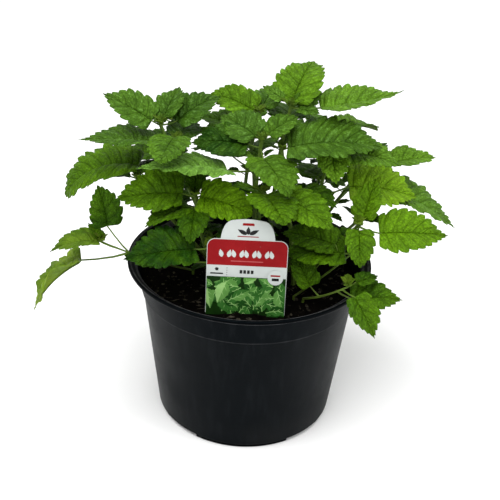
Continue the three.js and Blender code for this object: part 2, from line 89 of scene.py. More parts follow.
# Soil, in millimetres, with a low bank against the label's foot
SOIL_TOP = 103.4
BANK_HEIGHT = 3.1
BANK_SPREAD = (20, 4.5)
SOIL_EDGE_DROP = 1.2
SOIL_DEPTH = 18
SOIL_RINGS = 54
SOIL_SEGMENTS = 160

# Plant label, in millimetres in its own plane: x across, y up from the plate's foot
LABEL_FOOT = (-1.5, -56.5, 105.2)
LABEL_LEAN = 10
LABEL_HALF_WIDTH = 25
LABEL_THICKNESS = 0.7
LABEL_CORNER = 5
LABEL_PLATE_HEIGHT = 49
BAND_FOOT = 32
PICTURE_TOP = 24.5
PICTURE_FOOT = -1.2
PRINT_BORDER = 0.35
PRINT_THICKNESS = 0.05
PICTURE_LEAVES = 56
PICTURE_STEP = 0.2
VEIN_HALF_WIDTH = 0.27

# Printed leaves: each vein's start as a share of the leaf, its slant in degrees and its length as a share
PICTURE_VEINS = ((0.0, 0, 0.9), (0.18, 42, 0.26), (0.25, -42, 0.26), (0.46, 38, 0.22), (0.52, -38, 0.2))

# Stems, in millimetres
STEM_FOOT_HEIGHT = 106
STEM_RADIUS = 1.7
STEM_TIP_SHARE = 0.7
STEM_STEPS = 22
BARE_STEM_TOP = 145
BARE_STEM_GIRTH = 0.52
LEAFY_STEM_GIRTH = 0.85

# Leaves: shape shared with the frame's own blades
BLADE_HALF_WIDTH = 0.37
BLADE_SKEW = 0.46
BLADE_FULLNESS = 0.7
BLADE_FOLD = 13
ROW_SLANT = 0.16
BASE_LOBE = 0.09

# Leaves: how a blade's rows stand within one tooth, and how far each row reaches out and forward
TOOTH_STOPS = np.array([0.0, 0.18, 0.38, 0.58, 0.76, 0.9])
TOOTH_RISE = np.array([-1.0, -0.1, 0.5, 0.85, 1.0, 0.0])
TOOTH_LEAN = np.array([0.0, 0.0, 0.03, 0.1, 0.22, 0.12])
MM_PER_TOOTH = 4.2
HALF_COLUMNS = 12
SMALL_BLADE = 20
SMALL_STOPS = [0, 2, 4]
SMALL_HALF_COLUMNS = 6
FINE_ENDS = 0.6
MIDRIB_SINK = 0.007

# Leaves: side veins, as pairs in a blade and as how far forward, in vein gaps, one runs to the margin
MM_PER_VEIN = 6.5
VEIN_SLANT = 0.45
VEIN_STAGGER = 0.13

# Young leaves: the sizes tried, as shares, until one clears the other stems by the gap in millimetres, and
# how high or how far back they are clear of the label
YOUNG_TAPER = 1.2
YOUNG_SIZES = (1.0, 0.7, 0.45)
YOUNG_GAP = 2.6

# Points taken along and across a leaf to measure how near it comes
YOUNG_SAMPLES = (8, 5)
LEAF_SAMPLES = (20, 9)
LABEL_CLEAR_TOP = 165
LABEL_CLEAR_BACK = -44

# Colours and shares that the materials have in common or add to their settings
# Painted light and shade on the leaves: the pillow values darken the gaps and lighten the bulges, the net
# values paint shade into the fine creases and the upper vein values paint shade along the sunken veins. The
# paler underside veins are the leaf's own colour.
PILLOW_LIGHT_AND_SHADE = (0.74, 0.66)
NET_SHARE = 0.35
NET_CREASE_SHADE = (0.4, 0.46, 0.36, 1)
NET_BEND = 2.6
VEIN_SHARE = 0.22
UPPER_VEIN_SHADE = (0.5, 0.55, 0.5, 1)
UNDER_VEIN_TINT = (1.5, 1.4, 1.6, 1)
WRINKLE_STRETCH = (3.6, 3.8, 40.0)
STEM_FOOT_COLOUR = (0.07, 0.045, 0.018, 1)
WORN_PLASTIC = (0.008, 0.0095, 0.011, 1)
# Painted shade for the lip, the rim's top and the foot, then the pale colour of the painted highlights
# along the pot's moulded edges
SHADED_PLASTIC = (0.0004, 0.0005, 0.0006, 1)
PAINTED_EDGE_HIGHLIGHT = (0.06, 0.06, 0.062, 1)
PLASTIC_SHEEN = (0.6, 0.85, 1, 1)
NO_TINT = (1, 1, 1, 1)
EDGE_SOFTNESS = 0.25
PEAT_CRUMB = (0.004, 0.003, 0.0022, 1)
LABEL_DUST = (0.12, 0.1, 0.08, 1)
LABEL_SHADE = (0.47, 0.5, 0.485, 1)
BAND_SHADE = (0.22, 0.007, 0.009, 1)
FLOOR_SHADE = (0.95, 0.95, 0.95, 1)

# Inks of the label, each with the two colours that it wanders between; the greens run from dark to pale
INKS = {
    "label_dark": ((0.012, 0.013, 0.012, 1), (0.02, 0.02, 0.02, 1)),
    "label_pink": ((0.42, 0.09, 0.09, 1), (0.36, 0.07, 0.07, 1)),
    "picture_dark": ((0.008, 0.035, 0.004, 1), (0.005, 0.02, 0.003, 1)),
    "picture_deep": ((0.014, 0.07, 0.01, 1), (0.009, 0.045, 0.007, 1)),
    "picture_mid": ((0.04, 0.15, 0.026, 1), (0.026, 0.11, 0.016, 1)),
    "picture_light": ((0.12, 0.29, 0.065, 1), (0.075, 0.21, 0.04, 1)),
    "picture_pale": ((0.3, 0.52, 0.18, 1), (0.2, 0.42, 0.11, 1)),
}

# Each leafy stem of the frame: foot on the soil, the point that its bend leans to, tip and leaves.
# A leaf is (place along the stem, heading, petiole, rise of the petiole, blade, pitch, droop, roll, taper),
# lengths in millimetres and angles in degrees, with heading 0 along +X and 90 along +Y. The taper is how
# pointed the blade's tip is, from near 0 for a round one. Leaves that show from the label's side end with
# their tone, from 0 for the darkest green to 1 for the brightest, which holds the leaf's own green and
# painted light and shade together. Some have their hue too, from -1 for olive to 1 for the bluish green of
# a painted sky sheen, and then the twist from base to tip.
STEMS = {
    "stem_far_left": ((-38, -6), (-64, -25, 121), (-95, -29, 137), (
        (0.72, -167, 31, -6, 49, -47, 42, 18, 1.4, 0.35, -0.9, -20),
        (0.72, -170, 24, 56, 29, 80, 15, -72, 0.6, 0.18),
        (0.85, -166, 13, 28, 32, -10, 40, -2, 1.2, 0.3, -0.4),
        (1.0, 150, 3, 60, 12, 40, 0, 0, 0.8, 0.35),
    )),
    "stem_left_up": ((-14, -4), (-42, -10, 168), (-60, 0, 207), (
        (1.0, 172, 6, 22, 35, 26, 10, -28, 0.9, 0.37),
        (0.87, -170, 8, 0, 48, 4, 6, 1, 1.4, 0.38, 0.5),
        (1.0, 70, 5, 40, 28, 30, 20, -10, 0.8, 0.32),
        (1.0, 30, 11, 5, 34, 22, 30, 18, 0.8, 0.22, 0.5),
        (0.7, 130, 16, 25, 36, 0, 25, 0, 1.0),
    )),
    "stem_left_mid": ((-26, 6), (-36, 4, 150), (-50, -2, 197), (
        (0.72, 177, 33, 11, 60, -27, 74, 0, 0.1, 0.43, 0.0, -27),
        (1.0, -98, 8, 40, 36, -4, 20, 0, 0.3, 0.37),
        (1.0, 75, 5, 20, 28, 5, 20, 10, 1.0, 0.2),
        (0.4, 140, 16, 25, 28, -5, 25, 0, 1.0),
    )),
    "stem_front_left": ((-18, -26), (-34, -24, 140), (-36, -20, 168), (
        (1.0, 180, 8, 10, 44, -8, 20, -24, 1.0, 0.42),
        (0.85, -152, 7, 20, 30, -16, 25, -5, 0.9, 0.32),
        (1.0, -18, 3, 5, 36, -10, 25, 38, 0.1, 0.76),
        (1.0, 95, 4, 45, 18, 40, 0, 0, 1.0),
        (0.9, -92, 8, 5, 28, -22, 20, 0, 0.6, 0.2),
    )),
    "stem_low_left": ((-24, -44), (-22, -44, 128), (-26, -44, 144), (
        (1.0, -166, 8, 0, 45, -4, 15, -17, 0.8, 0.0),
        (0.7, 168, 26, 0, 32, -8, 25, -20, 0.8, 0.1),
    )),
    "stem_top_back": ((-6, 18), (-8, 26, 165), (2, 20, 210), (
        (1.0, 160, 4, 25, 32, 12, 25, -30, 0.3, 0.55, 0.1),
        (1.0, 70, 5, 35, 28, 15, 20, 0, 1.0),
        (0.8, 163, 8, 30, 33, 12, 25, -15, 1.0),
        (0.6, 150, 14, 20, 34, -5, 25, 0, 1.0),
    )),
    "stem_centre": ((4, -8), (0, -10, 160), (4, -10, 203), (
        (1.0, 138, 5, 25, 33, 9, 15, -30, 0.9, 0.35, 0.6),
        (1.0, 33, 6, 40, 24, 20, 20, 15, 0.7, 0.4),
        (0.95, 172, 8, 12, 37, -4, 20, -28, 0.8, 0.05, 0.3),
        (0.95, -66, 7, -48, 42, -12, 20, 0, 0.9, 0.44, 0.3),
        (0.78, -161, 20, 4, 59, 7, 12, 5, 1.2, 1.0, 0.8),
        (0.35, -125, 12, 10, 28, -5, 25, 0, 1.0, 0.1),
    )),
    "stem_top_right": ((14, 16), (12, 18, 170), (22, 16, 217), (
        (1.0, 68, 3, 45, 43, 26, 46, 0, 0.4, 0.54, 0.12),
        (1.0, 160, 7, 40, 16, 25, 0, -20, 0.6, 0.5),
        (1.0, 18, 4, 20, 18, 22, 0, 60, 0.6, 0.4),
        (1.0, -25, 5, 0, 15, 0, 0, 20, 0.6, 0.4),
        (1.0, 5, 19, 0, 55, 14, -22, 4, 1.5, 0.66, 0.3),
        (0.8, 80, 14, 25, 42, -5, 25, 0, 1.0),
    )),
    "stem_right_up": ((24, -6), (44, -6, 160), (48, -1, 196), (
        (1.0, -14, 9, 0, 36, -6, 20, 20, 0.6, 0.65),
        (1.0, -84, 4, 30, 28, -28, 10, 0, 0.8, 0.87),
        (0.6, 2, 21, 22, 46, -8, 25, 30, 0.7, 1.0, -0.3),
        (0.6, 90, 16, 20, 38, -7, 25, 0, 1.0),
    )),
    "stem_right_top": ((30, -14), (25, -11, 160), (17, -7, 197), (
        (1.0, -2, 4, 20, 60, 4, 28, 12, 0.5, 0.36, 0.5),
        (0.65, -34, 12, 20, 26, -8, 20, 10, 1.0, 0.2),
    )),
    "stem_right_mid": ((32, 18), (58, 22, 150), (70, 20, 172), (
        (1.0, -10, 18, -34, 59, -22, 30, 2, 1.2, 0.55, 0.5),
        (1.0, 12, 22, 16, 33, 6, 10, 5, 0.9, 0.67, 0.3),
        (1.0, 75, 12, 30, 38, 0, 25, 0, 1.0),
        (0.6, 40, 16, 30, 38, -10, 25, 0, 1.0),
    )),
    "stem_right_low": ((38, -12), (58, -15, 142), (67, -32, 158), (
        (1.0, -4, 14, -15, 43, 3, 10, 31, 1.0, 0.57),
        (1.0, 57, 7, 30, 26, 62, 10, 0, 0.5, 0.52),
        (1.0, -88, 4, -12, 25, -40, 20, 0, 0.5, 0.42),
    )),
    "stem_front_right": ((10, -30), (2, -28, 145), (6, -24, 174), (
        (1.0, -72, 6, 10, 38, -2, 20, 0, 0.2, 0.42),
        (1.0, -32, 16, 8, 38, -18, 20, 15, 0.7, 0.52),
        (1.0, -150, 5, 30, 18, 20, 20, 0, 1.0),
    )),
    "stem_soil_right": ((36, -36), (46, -52, 116), (61, -58, 129), (
        (0.8, -6, 10, -25, 32, 5, 20, 24, 1.2, 0.24),
        (0.9, -51, 11, 0, 28, -43, 15, 6, 1.2, 0.26),
        (1.0, 20, 6, 25, 15, 10, 0, 20, 0.8, 0.2),
        (0.42, 135, 9, 25, 23, 45, 10, -25, 0.3, 0.27),
    )),
    "stem_low_right": ((30, -34), (46, -35, 120), (64, -37, 141), (
        (1.0, 178, 4, 0, 40, -4, 15, -18, 1.0, 0.32),
        (0.85, 165, 12, 65, 36, 4, 20, -20, 1.0, 0.22),
    )),
    "stem_back_left": ((-28, 34), (-46, 48, 150), (-56, 56, 186), (
        (1.0, 160, 8, 25, 40, 0, 25, 0, 1.0),
        (1.0, -45, 6, 30, 26, 25, 25, 0, 1.0),
        (0.9, 80, 12, 25, 44, -10, 25, 0, 1.0),
        (0.6, 158, 20, 20, 44, -12, 25, 0, 1.0),
        (0.35, 100, 20, 20, 42, -20, 25, 0, 1.0),
    )),
    "stem_back_mid": ((2, 42), (2, 58, 150), (-4, 66, 184), (
        (1.0, 100, 8, 25, 42, 0, 25, 0, 1.0),
        (0.9, 5, 8, 25, 38, -10, 25, 0, 1.0),
        (0.9, 175, 8, 25, 40, -10, 25, 0, 1.0),
        (0.6, 90, 20, 20, 46, -15, 25, 0, 1.0),
    )),
    "stem_back_right": ((32, 36), (48, 50, 150), (54, 54, 188), (
        (1.0, 35, 8, 20, 36, -16, 25, 0, 1.0),
        (1.0, 200, 6, 30, 26, 25, 25, 0, 1.0),
        (0.9, 90, 12, 25, 44, -10, 25, 0, 1.0),
        (0.6, 10, 20, 20, 46, -15, 25, 0, 1.0),
        (0.4, 80, 20, 20, 46, -20, 25, 0, 1.0),
    )),
    "stem_side_left": ((-30, 14), (-58, 22, 132), (-80, 28, 157), (
        (1.0, 165, 8, 10, 28, -10, 30, -5, 1.0),
        (1.0, -170, 4, 20, 18, 5, 20, 0, 1.0),
        (0.9, 100, 12, 25, 36, -10, 25, 0, 1.0),
        (0.5, 130, 12, 20, 30, -10, 25, 0, 1.0),
    )),
    "stem_side_right": ((40, 10), (66, 20, 128), (88, 30, 146), (
        (1.0, 24, 8, 10, 40, -18, 30, 5, 1.0),
        (1.0, 115, 8, 30, 30, -5, 20, 0, 1.0),
    )),
}


# Settings

def colour_property(name, description, default):
    return bpy.props.FloatVectorProperty(
        name=name, description=description, default=(*default, 1), subtype="COLOR", size=4, min=0, max=1)


def value_property(name, description, default, **more):
    return bpy.props.FloatProperty(name=name, description=description, default=default, **more)


class HerbPotSettings(bpy.types.PropertyGroup):
    segments: bpy.props.IntProperty(
        name="Segments", description="Sides of the pot's round wall", default=160, min=48, max=256)
    colour: colour_property("Plastic", "Colour of the pot's plastic", (0.0012, 0.002, 0.0027))
    dust: colour_property("Dust", "Colour of dry soil dust on the pot", (0.03, 0.029, 0.027))


class HerbSoilSettings(bpy.types.PropertyGroup):
    lump: value_property("Lumps", "Height of the soil's lumps", 1.6 * MM, unit="LENGTH")
    bits: bpy.props.IntProperty(
        name="Bits", description="Number of bits on the soil", default=420, min=0, max=900)
    colour: colour_property("Peat", "Colour of the damp peat", (0.0014, 0.0011, 0.0009))
    bit_colour: colour_property("Bark", "Colour of the bark and fibre bits", (0.055, 0.048, 0.034))


class HerbLabelSettings(bpy.types.PropertyGroup):
    plastic: colour_property("Plastic", "Colour of the label's bare plastic", (0.5, 0.535, 0.515))
    band: colour_property("Band", "Colour of the band across the label", (0.25, 0.009, 0.011))
    picture_seed: bpy.props.IntProperty(
        name="Picture seed", description="Start of the random layout of the leaf picture", default=7)


class HerbLeafSettings(bpy.types.PropertyGroup):
    thickness: value_property("Thickness", "Thickness of a blade", 0.3 * MM, unit="LENGTH")
    quilt: value_property("Quilting", "Rise between the veins, as a share of the blade's length", 0.017)
    pucker: value_property("Puckers", "Rise of small puckers, as a share of the blade's length", 0.012)
    tooth: value_property("Tooth depth", "Half depth of a tooth, as a share of the half width", 0.08)
    bright: colour_property("Bright leaf", "Colour of a leaf in full light", (0.142, 0.3, 0.004))
    deep: colour_property("Deep leaf", "Colour of an older, shaded leaf", (0.01, 0.042, 0.0008))
    # A painted sky reflection: the bluish green given to the upper leaves in place of their sheen
    cool: colour_property("Cool leaf", "Tint of the upper leaves, under their sheen", (0.115, 0.25, 0.036))
    # This colour is a painted sheen: a pale highlight on the bulges, strongest on the upper leaves
    painted_sheen: colour_property("Haze", "Colour of the pale haze of hairs on bulges", (0.2, 0.34, 0.12))
    under: colour_property("Underside", "Colour of a leaf's underside", (0.13, 0.22, 0.035))
    young: colour_property("Young leaf", "Colour of the crinkled tip leaves", (0.17, 0.26, 0.02))
    stem: colour_property("Stem", "Colour of the stems", (0.1, 0.17, 0.02))


class HerbStageSettings(bpy.types.PropertyGroup):
    distance: value_property("Distance", "From the camera to the plant", 0.6, unit="LENGTH")
    elevation: value_property(
        "Elevation", "Height of the camera over the horizon", math.radians(28.5), subtype="ANGLE")
    roll: value_property("Roll", "Turn of the camera about its view", math.radians(2.65), subtype="ANGLE")
    aim_height: value_property("Aim height", "Height that the camera looks at", 0.1203, unit="LENGTH")
    focal_share: value_property(
        "Focal share", "Focal length as a share of the picture's width", 885 / 500)
    floor: colour_property("Floor", "Colour of the floor", (0.94, 0.94, 0.94))


# Small helpers for objects and meshes

def deselect_all():
    if bpy.context.object and bpy.context.object.mode != "OBJECT":
        bpy.ops.object.mode_set(mode="OBJECT")
    bpy.ops.object.select_all(action="DESELECT")


def select_only(*pieces):
    deselect_all()
    for piece in pieces:
        piece.select_set(True)
    bpy.context.view_layer.objects.active = pieces[0]


def join(pieces, name):
    select_only(*pieces)
    if len(pieces) > 1:
        bpy.ops.object.join()
    joined = bpy.context.object
    joined.name = name
    joined.data.name = name
    return joined


def apply_modifier(piece, kind, **settings):
    select_only(piece)
    modifier = piece.modifiers.new(kind.title(), kind)
    for key, value in settings.items():
        setattr(modifier, key, value)
    bpy.ops.object.modifier_apply(modifier=modifier.name)


def shade(piece, degrees):
    select_only(piece)
    bpy.ops.object.shade_smooth_by_angle(angle=math.radians(degrees))


def weld(piece, distance, turn_outward=False):
    """Merges points closer than a distance in millimetres, and can turn all faces outward."""
    select_only(piece)
    bpy.ops.object.mode_set(mode="EDIT")
    bpy.ops.mesh.select_all(action="SELECT")
    bpy.ops.mesh.remove_doubles(threshold=distance * MM)
    if turn_outward:
        bpy.ops.mesh.normals_make_consistent(inside=False)
    bpy.ops.object.mode_set(mode="OBJECT")


def outward(piece):
    weld(piece, WELD_DISTANCE, turn_outward=True)


def new_piece(name, data):
    piece = bpy.data.objects.new(name, data)
    bpy.context.collection.objects.link(piece)
    return piece


def copy_of(blank):
    return new_piece(blank.name, blank.data.copy())


def dress(piece, *materials):
    piece.data.materials.clear()
    for material in materials:
        piece.data.materials.append(material)


def positions(mesh):
    flat = np.empty(len(mesh.vertices) * 3, np.float32)
    mesh.vertices.foreach_get("co", flat)
    return flat.reshape(-1, 3).astype(float)


def place(mesh, points):
    mesh.vertices.foreach_set("co", np.asarray(points, np.float32).ravel())
    mesh.update()


def finish_piece(piece, node=None):
    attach(piece, "root")
    if node:
        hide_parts(node)


def turned_solid(name, rings, segments):
    """A disc, extruded from ring to ring of (radius, height) in millimetres, closed at both ends."""
    deselect_all()
    radius, height = rings[0]
    bpy.ops.mesh.primitive_circle_add(
        vertices=segments, radius=radius * MM, fill_type="NGON", location=(0, 0, height * MM))
    piece = bpy.context.object
    piece.name = name
    bpy.ops.object.transform_apply()
    bpy.ops.object.mode_set(mode="EDIT")
    bpy.ops.mesh.select_all(action="SELECT")
    for (inner, low), (outer, high) in zip(rings, rings[1:]):
        rise = {"value": (0, 0, (high - low) * MM)}
        bpy.ops.mesh.extrude_region_move(TRANSFORM_OT_translate=rise)
        scale = outer / inner
        bpy.ops.transform.resize(value=(scale, scale, 1), center_override=(0, 0, high * MM))
    bpy.ops.object.mode_set(mode="OBJECT")
    outward(piece)
    return piece


def arc(centre, radius, start, end, steps):
    """Rings on an arc of a turned profile, its angles in degrees from the outward direction."""
    angles = np.radians(np.linspace(start, end, steps + 1))
    return [(centre[0] + radius * math.cos(a), centre[1] + radius * math.sin(a)) for a in angles]


# Node helpers

def feed(tree, made, inputs):
    """Gives a node's inputs, by name or number, a value or another node's output each."""
    for key, value in inputs.items():
        if isinstance(value, bpy.types.NodeSocket):
            tree.links.new(value, made.inputs[key])
        else:
            made.inputs[key].default_value = value


def node(tree, kind, inputs=None, **settings):
    made = tree.nodes.new(kind)
    for key, value in settings.items():
        setattr(made, key, value)
    feed(tree, made, inputs or {})
    return made


def calculate(tree, operation, *values, clamp=False):
    made = node(tree, "ShaderNodeMath", dict(enumerate(values)), operation=operation, use_clamp=clamp)
    return made.outputs[0]


def times(tree, first, second):
    return calculate(tree, "MULTIPLY", first, second)


def vector_math(tree, operation, *values):
    made = node(tree, "ShaderNodeVectorMath", dict(enumerate(values)), operation=operation)
    return made.outputs["Value" if operation == "LENGTH" else "Vector"]


def fade(tree, value, low, high, start=0.0, end=1.0):
    """value taken from low..high to start..end, smoothly."""
    inputs = {0: value, 1: low, 2: high, 3: start, 4: end}
    return node(tree, "ShaderNodeMapRange", inputs, interpolation_type="SMOOTHSTEP").outputs[0]


def blend_colours(tree, share, first, second, kind="MIX"):
    inputs = {0: share, 6: first, 7: second}
    return node(tree, "ShaderNodeMix", inputs, data_type="RGBA", blend_type=kind).outputs[2]


def object_point(tree):
    return node(tree, "ShaderNodeTexCoord").outputs["Object"]


def height_of(tree, point):
    return node(tree, "ShaderNodeSeparateXYZ", {0: point}).outputs[2]


def attribute(tree, name):
    return node(tree, "ShaderNodeAttribute", attribute_name=name).outputs["Fac"]


def cloud(tree, point, scale, detail, rough=0.5):
    inputs = {"Vector": point, "Scale": scale, "Detail": detail, "Roughness": rough}
    return node(tree, "ShaderNodeTexNoise", inputs).outputs


def new_group(name, inputs, outputs):
    """An empty shader group: inputs maps a name to its default, outputs is a list of names."""
    tree = bpy.data.node_groups.new(name, "ShaderNodeTree")
    for key, default in inputs.items():
        socket = tree.interface.new_socket(key, in_out="INPUT", socket_type="NodeSocketFloat")
        socket.default_value = default
    for key in outputs:
        tree.interface.new_socket(key, in_out="OUTPUT", socket_type="NodeSocketFloat")
    return tree, node(tree, "NodeGroupInput"), node(tree, "NodeGroupOutput")


def use_group(tree, name, **inputs):
    return node(tree, "ShaderNodeGroup", inputs, node_tree=bpy.data.node_groups[name]).outputs


def new_material(name):
    material = bpy.data.materials.new(name)
    material.use_nodes = True
    return material, material.node_tree


def finish_material(material, colour, rough, specular, relief=None, depth=0.0, tint=NO_TINT):
    """Connects a material's colour, its roughness and a relief of a depth in millimetres."""
    tree = material.node_tree
    inputs = {"Base Color": colour, "Roughness": rough}
    inputs.update({"Specular IOR Level": specular, "Specular Tint": tint})
    if relief is not None:
        raised = {"Height": relief, "Distance": depth * MM, "Strength": 1.0}
        inputs["Normal"] = node(tree, "ShaderNodeBump", raised).outputs[0]
    feed(tree, tree.nodes["Principled BSDF"], inputs)
    return material


# Effects that several materials share

def make_mottle_group():
    """Broad and fine cloudy variation on object coordinates, each from 0 to 1, at the given scales."""
    scales = {"Broad": 30.0, "Fine": 300.0}
    tree, taken, given = new_group("mottle", scales, list(scales))
    point = object_point(tree)
    for name in scales:
        puffs = cloud(tree, point, taken.outputs[name], 3.0, 0.6)["Fac"]
        feed(tree, given, {name: fade(tree, puffs, 0.32, 0.68)})


def make_specks_group():
    """Small scattered specks on object coordinates, 1 in a speck and 0 elsewhere."""
    tree, taken, given = new_group("specks", {"Scale": 200.0, "Size": 0.2, "Share": 0.3}, ["Speck"])
    inputs = {"Vector": object_point(tree), "Scale": taken.outputs["Scale"]}
    cells = node(tree, "ShaderNodeTexVoronoi", inputs).outputs
    near = calculate(tree, "LESS_THAN", cells["Distance"], taken.outputs["Size"])
    draw = node(tree, "ShaderNodeSeparateColor", {0: cells["Color"]}).outputs[0]
    chosen = calculate(tree, "LESS_THAN", draw, taken.outputs["Share"])
    feed(tree, given, {"Speck": times(tree, near, chosen)})


def make_veins_group():
    """Veins of a blade from its own map: x counts the side veins, y runs from -1 to 1 across it."""
    tree, _, given = new_group("veins", {}, ["Vein", "Net", "Pillow"])
    blade_map = node(tree, "ShaderNodeUVMap", uv_map="blade").outputs[0]
    along, across, _ = node(tree, "ShaderNodeSeparateXYZ", {0: blade_map}).outputs
    reach = calculate(tree, "ABSOLUTE", across)
    slanted = calculate(tree, "MULTIPLY_ADD", reach, -VEIN_SLANT, along)
    side = calculate(tree, "SIGN", across)
    count = calculate(tree, "FRACT", calculate(tree, "MULTIPLY_ADD", side, VEIN_STAGGER, slanted))
    off = calculate(tree, "ABSOLUTE", calculate(tree, "SUBTRACT", count, 0.5))
    midrib = fade(tree, reach, 0.008, 0.032, 1.0, 0.0)
    lateral = times(tree, fade(tree, off, 0.01, 0.055, 1.0, 0.0), fade(tree, reach, 0.5, 1.0, 1.0, 0.4))

    # The fine net between the side veins
    point = object_point(tree)
    stir = cloud(tree, point, 380.0, 1.0)["Color"]
    bent = vector_math(tree, "MULTIPLY_ADD", stir, (NET_BEND * MM,) * 3, point)
    cells = node(
        tree, "ShaderNodeTexVoronoi", {"Vector": bent, "Scale": 480.0}, feature="DISTANCE_TO_EDGE")
    edge = cells.outputs["Distance"]

    # Wrinkles that run along the side veins, laid out by each leaf's own tone
    flow = {0: slanted, 1: across, 2: attribute(tree, "tone")}
    along_veins = node(tree, "ShaderNodeCombineXYZ", flow).outputs[0]
    stretched = vector_math(tree, "MULTIPLY", along_veins, WRINKLE_STRETCH)
    wrinkle = cloud(tree, stretched, 1.0, 2.0, 0.6)["Fac"]
    puffs = fade(tree, edge, 0.0, 0.35, 0.0, 0.3)
    puffed = calculate(tree, "ADD", puffs, fade(tree, wrinkle, 0.3, 0.7, 0.0, 0.7))
    feed(tree, given, {
        "Vein": calculate(tree, "MAXIMUM", midrib, lateral),
        "Net": fade(tree, edge, 0.0, 0.14, 1.0, 0.0),
        "Pillow": times(tree, puffed, fade(tree, off, 0.0, 0.24, 0.58)),
    })


# Materials

def leaf_colour(tree, settings, veins, broad, base, vein_shade_and_tint):
    """The green of a blade: painted shade in the creases and along the upper side's veins, painted
    highlights on the bulges, paler underside veins and yellow-green young leaves.
    """
    # Painted light and shade: darker gaps and lighter bulges, then painted shade in the fine creases and
    # along the veins
    lift = calculate(tree, "MULTIPLY_ADD", veins["Pillow"], *PILLOW_LIGHT_AND_SHADE)
    grey = node(tree, "ShaderNodeCombineColor", {0: lift, 1: lift, 2: lift}).outputs[0]
    lifted = blend_colours(tree, 1.0, base, grey, "MULTIPLY")
    netted = blend_colours(tree, times(tree, veins["Net"], NET_SHARE), lifted, NET_CREASE_SHADE, "MULTIPLY")
    lined = blend_colours(tree, times(tree, veins["Vein"], VEIN_SHARE), netted, vein_shade_and_tint, "MULTIPLY")
    patches = calculate(tree, "ADD", broad, 0.3)
    patchy = calculate(tree, "MULTIPLY", attribute(tree, "youth"), patches, clamp=True)
    return blend_colours(tree, patchy, lined, settings.young)


def make_leaf_upper(settings):
    material, tree = new_material("leaf_upper")
    veins = use_group(tree, "veins")
    mottle = use_group(tree, "mottle", Broad=55.0, Fine=420.0)
    # Painted reflection: the upper leaves turn toward the bluish sky sheen colour
    cool = attribute(tree, "cool")
    shift = calculate(tree, "MULTIPLY_ADD", mottle["Broad"], 0.2, -0.1)
    lit = calculate(tree, "ADD", attribute(tree, "tone"), shift, clamp=True)
    warm = blend_colours(tree, lit, settings.deep, settings.bright)
    sheened = blend_colours(tree, lit, settings.deep, settings.cool)
    base = blend_colours(tree, cool, warm, sheened)
    colour = leaf_colour(tree, settings, veins, mottle["Broad"], base, UPPER_VEIN_SHADE)
    # Painted sheen: a pale highlight on the raised bulges, strongest where the upper leaves take the
    # painted sky reflection
    raised = fade(tree, veins["Pillow"], 0.5, 0.95, 0.0, 0.4)
    sheen_share = times(tree, raised, calculate(tree, "MULTIPLY_ADD", cool, 0.75, 0.06))
    colour = blend_colours(tree, sheen_share, colour, settings.painted_sheen)
    rough = calculate(tree, "MULTIPLY_ADD", mottle["Fine"], 0.14, 0.44)
    relief = calculate(tree, "SUBTRACT", veins["Pillow"], times(tree, veins["Vein"], 0.5))
    return finish_material(material, colour, rough, 0.06, relief, 0.8)


def make_leaf_under(settings):
    material, tree = new_material("leaf_under")
    veins = use_group(tree, "veins")
    broad = use_group(tree, "mottle", Broad=42.0, Fine=420.0)["Broad"]
    base = blend_colours(tree, broad, settings.under, settings.bright)
    base = blend_colours(tree, 0.7, base, settings.under)
    colour = leaf_colour(tree, settings, veins, broad, base, UNDER_VEIN_TINT)
    relief = calculate(tree, "SUBTRACT", veins["Vein"], times(tree, veins["Pillow"], 0.6))
    return finish_material(material, colour, 0.68, 0.05, relief, 0.3)


def make_stem_material(settings):
    material, tree = new_material("stem_green")
    mottle = use_group(tree, "mottle", Broad=60.0, Fine=900.0)
    low = fade(tree, height_of(tree, object_point(tree)), 103 * MM, 150 * MM, 0.35, 0.0)
    green = blend_colours(tree, mottle["Broad"], settings.stem, settings.deep)
    green = blend_colours(tree, 0.6, green, settings.stem)
    colour = blend_colours(tree, times(tree, low, mottle["Broad"]), green, STEM_FOOT_COLOUR)
    return finish_material(material, colour, 0.55, 0.15, mottle["Fine"], 0.08)


def band_share(tree, value, low, high, share):
    """share where a value in metres lies between low and high, in millimetres, and 0 elsewhere."""
    rising = fade(tree, value, (low - EDGE_SOFTNESS) * MM, low * MM, 0.0, share)
    falling = fade(tree, value, high * MM, (high + EDGE_SOFTNESS) * MM, 1.0, 0.0)
    return times(tree, rising, falling)


def painted_edge_light_and_shade(tree, point, colour, streak):
    """The pot's colour with painted shade darkening the lip, the rim's top and the foot, and with pale
    lines of painted highlight along its moulded edges.
    """
    height = height_of(tree, point)
    radius = vector_math(tree, "LENGTH", vector_math(tree, "MULTIPLY", point, (1.0, 1.0, 0.0)))
    underside = POT_HEIGHT - RIM_THICKNESS
    # Painted shade: dark bands on the lip's side, across the rim's top and around the foot
    shaded = (
        (height, underside + 0.7, POT_HEIGHT - 0.7, 0.9),
        (radius, RIM_INNER_RADIUS + 0.9, RIM_RADIUS - 0.5, 0.8),
        (height, -1, FOOT_HEIGHT + 0.2, 0.9),
    )
    for band in shaded:
        colour = blend_colours(tree, band_share(tree, *band), colour, SHADED_PLASTIC)
    # Painted highlights: pale lines below the lip, at the collar's foot and on the rim's inner edge, broken
    # up by the streaks
    patchy = fade(tree, streak, 0.3, 0.6, 0.35, 1.0)
    painted_highlights = (
        (height, underside - 3.2, underside + 0.4, 0.8),
        (height, COLLAR_FOOT_HEIGHT - 0.4, COLLAR_FOOT_HEIGHT + 0.5, 0.3),
        (radius, RIM_INNER_RADIUS - 0.4, RIM_INNER_RADIUS + 0.6, 1.0),
    )
    for band in painted_highlights:
        line = times(tree, band_share(tree, *band), patchy)
        colour = blend_colours(tree, line, colour, PAINTED_EDGE_HIGHLIGHT)
    return colour


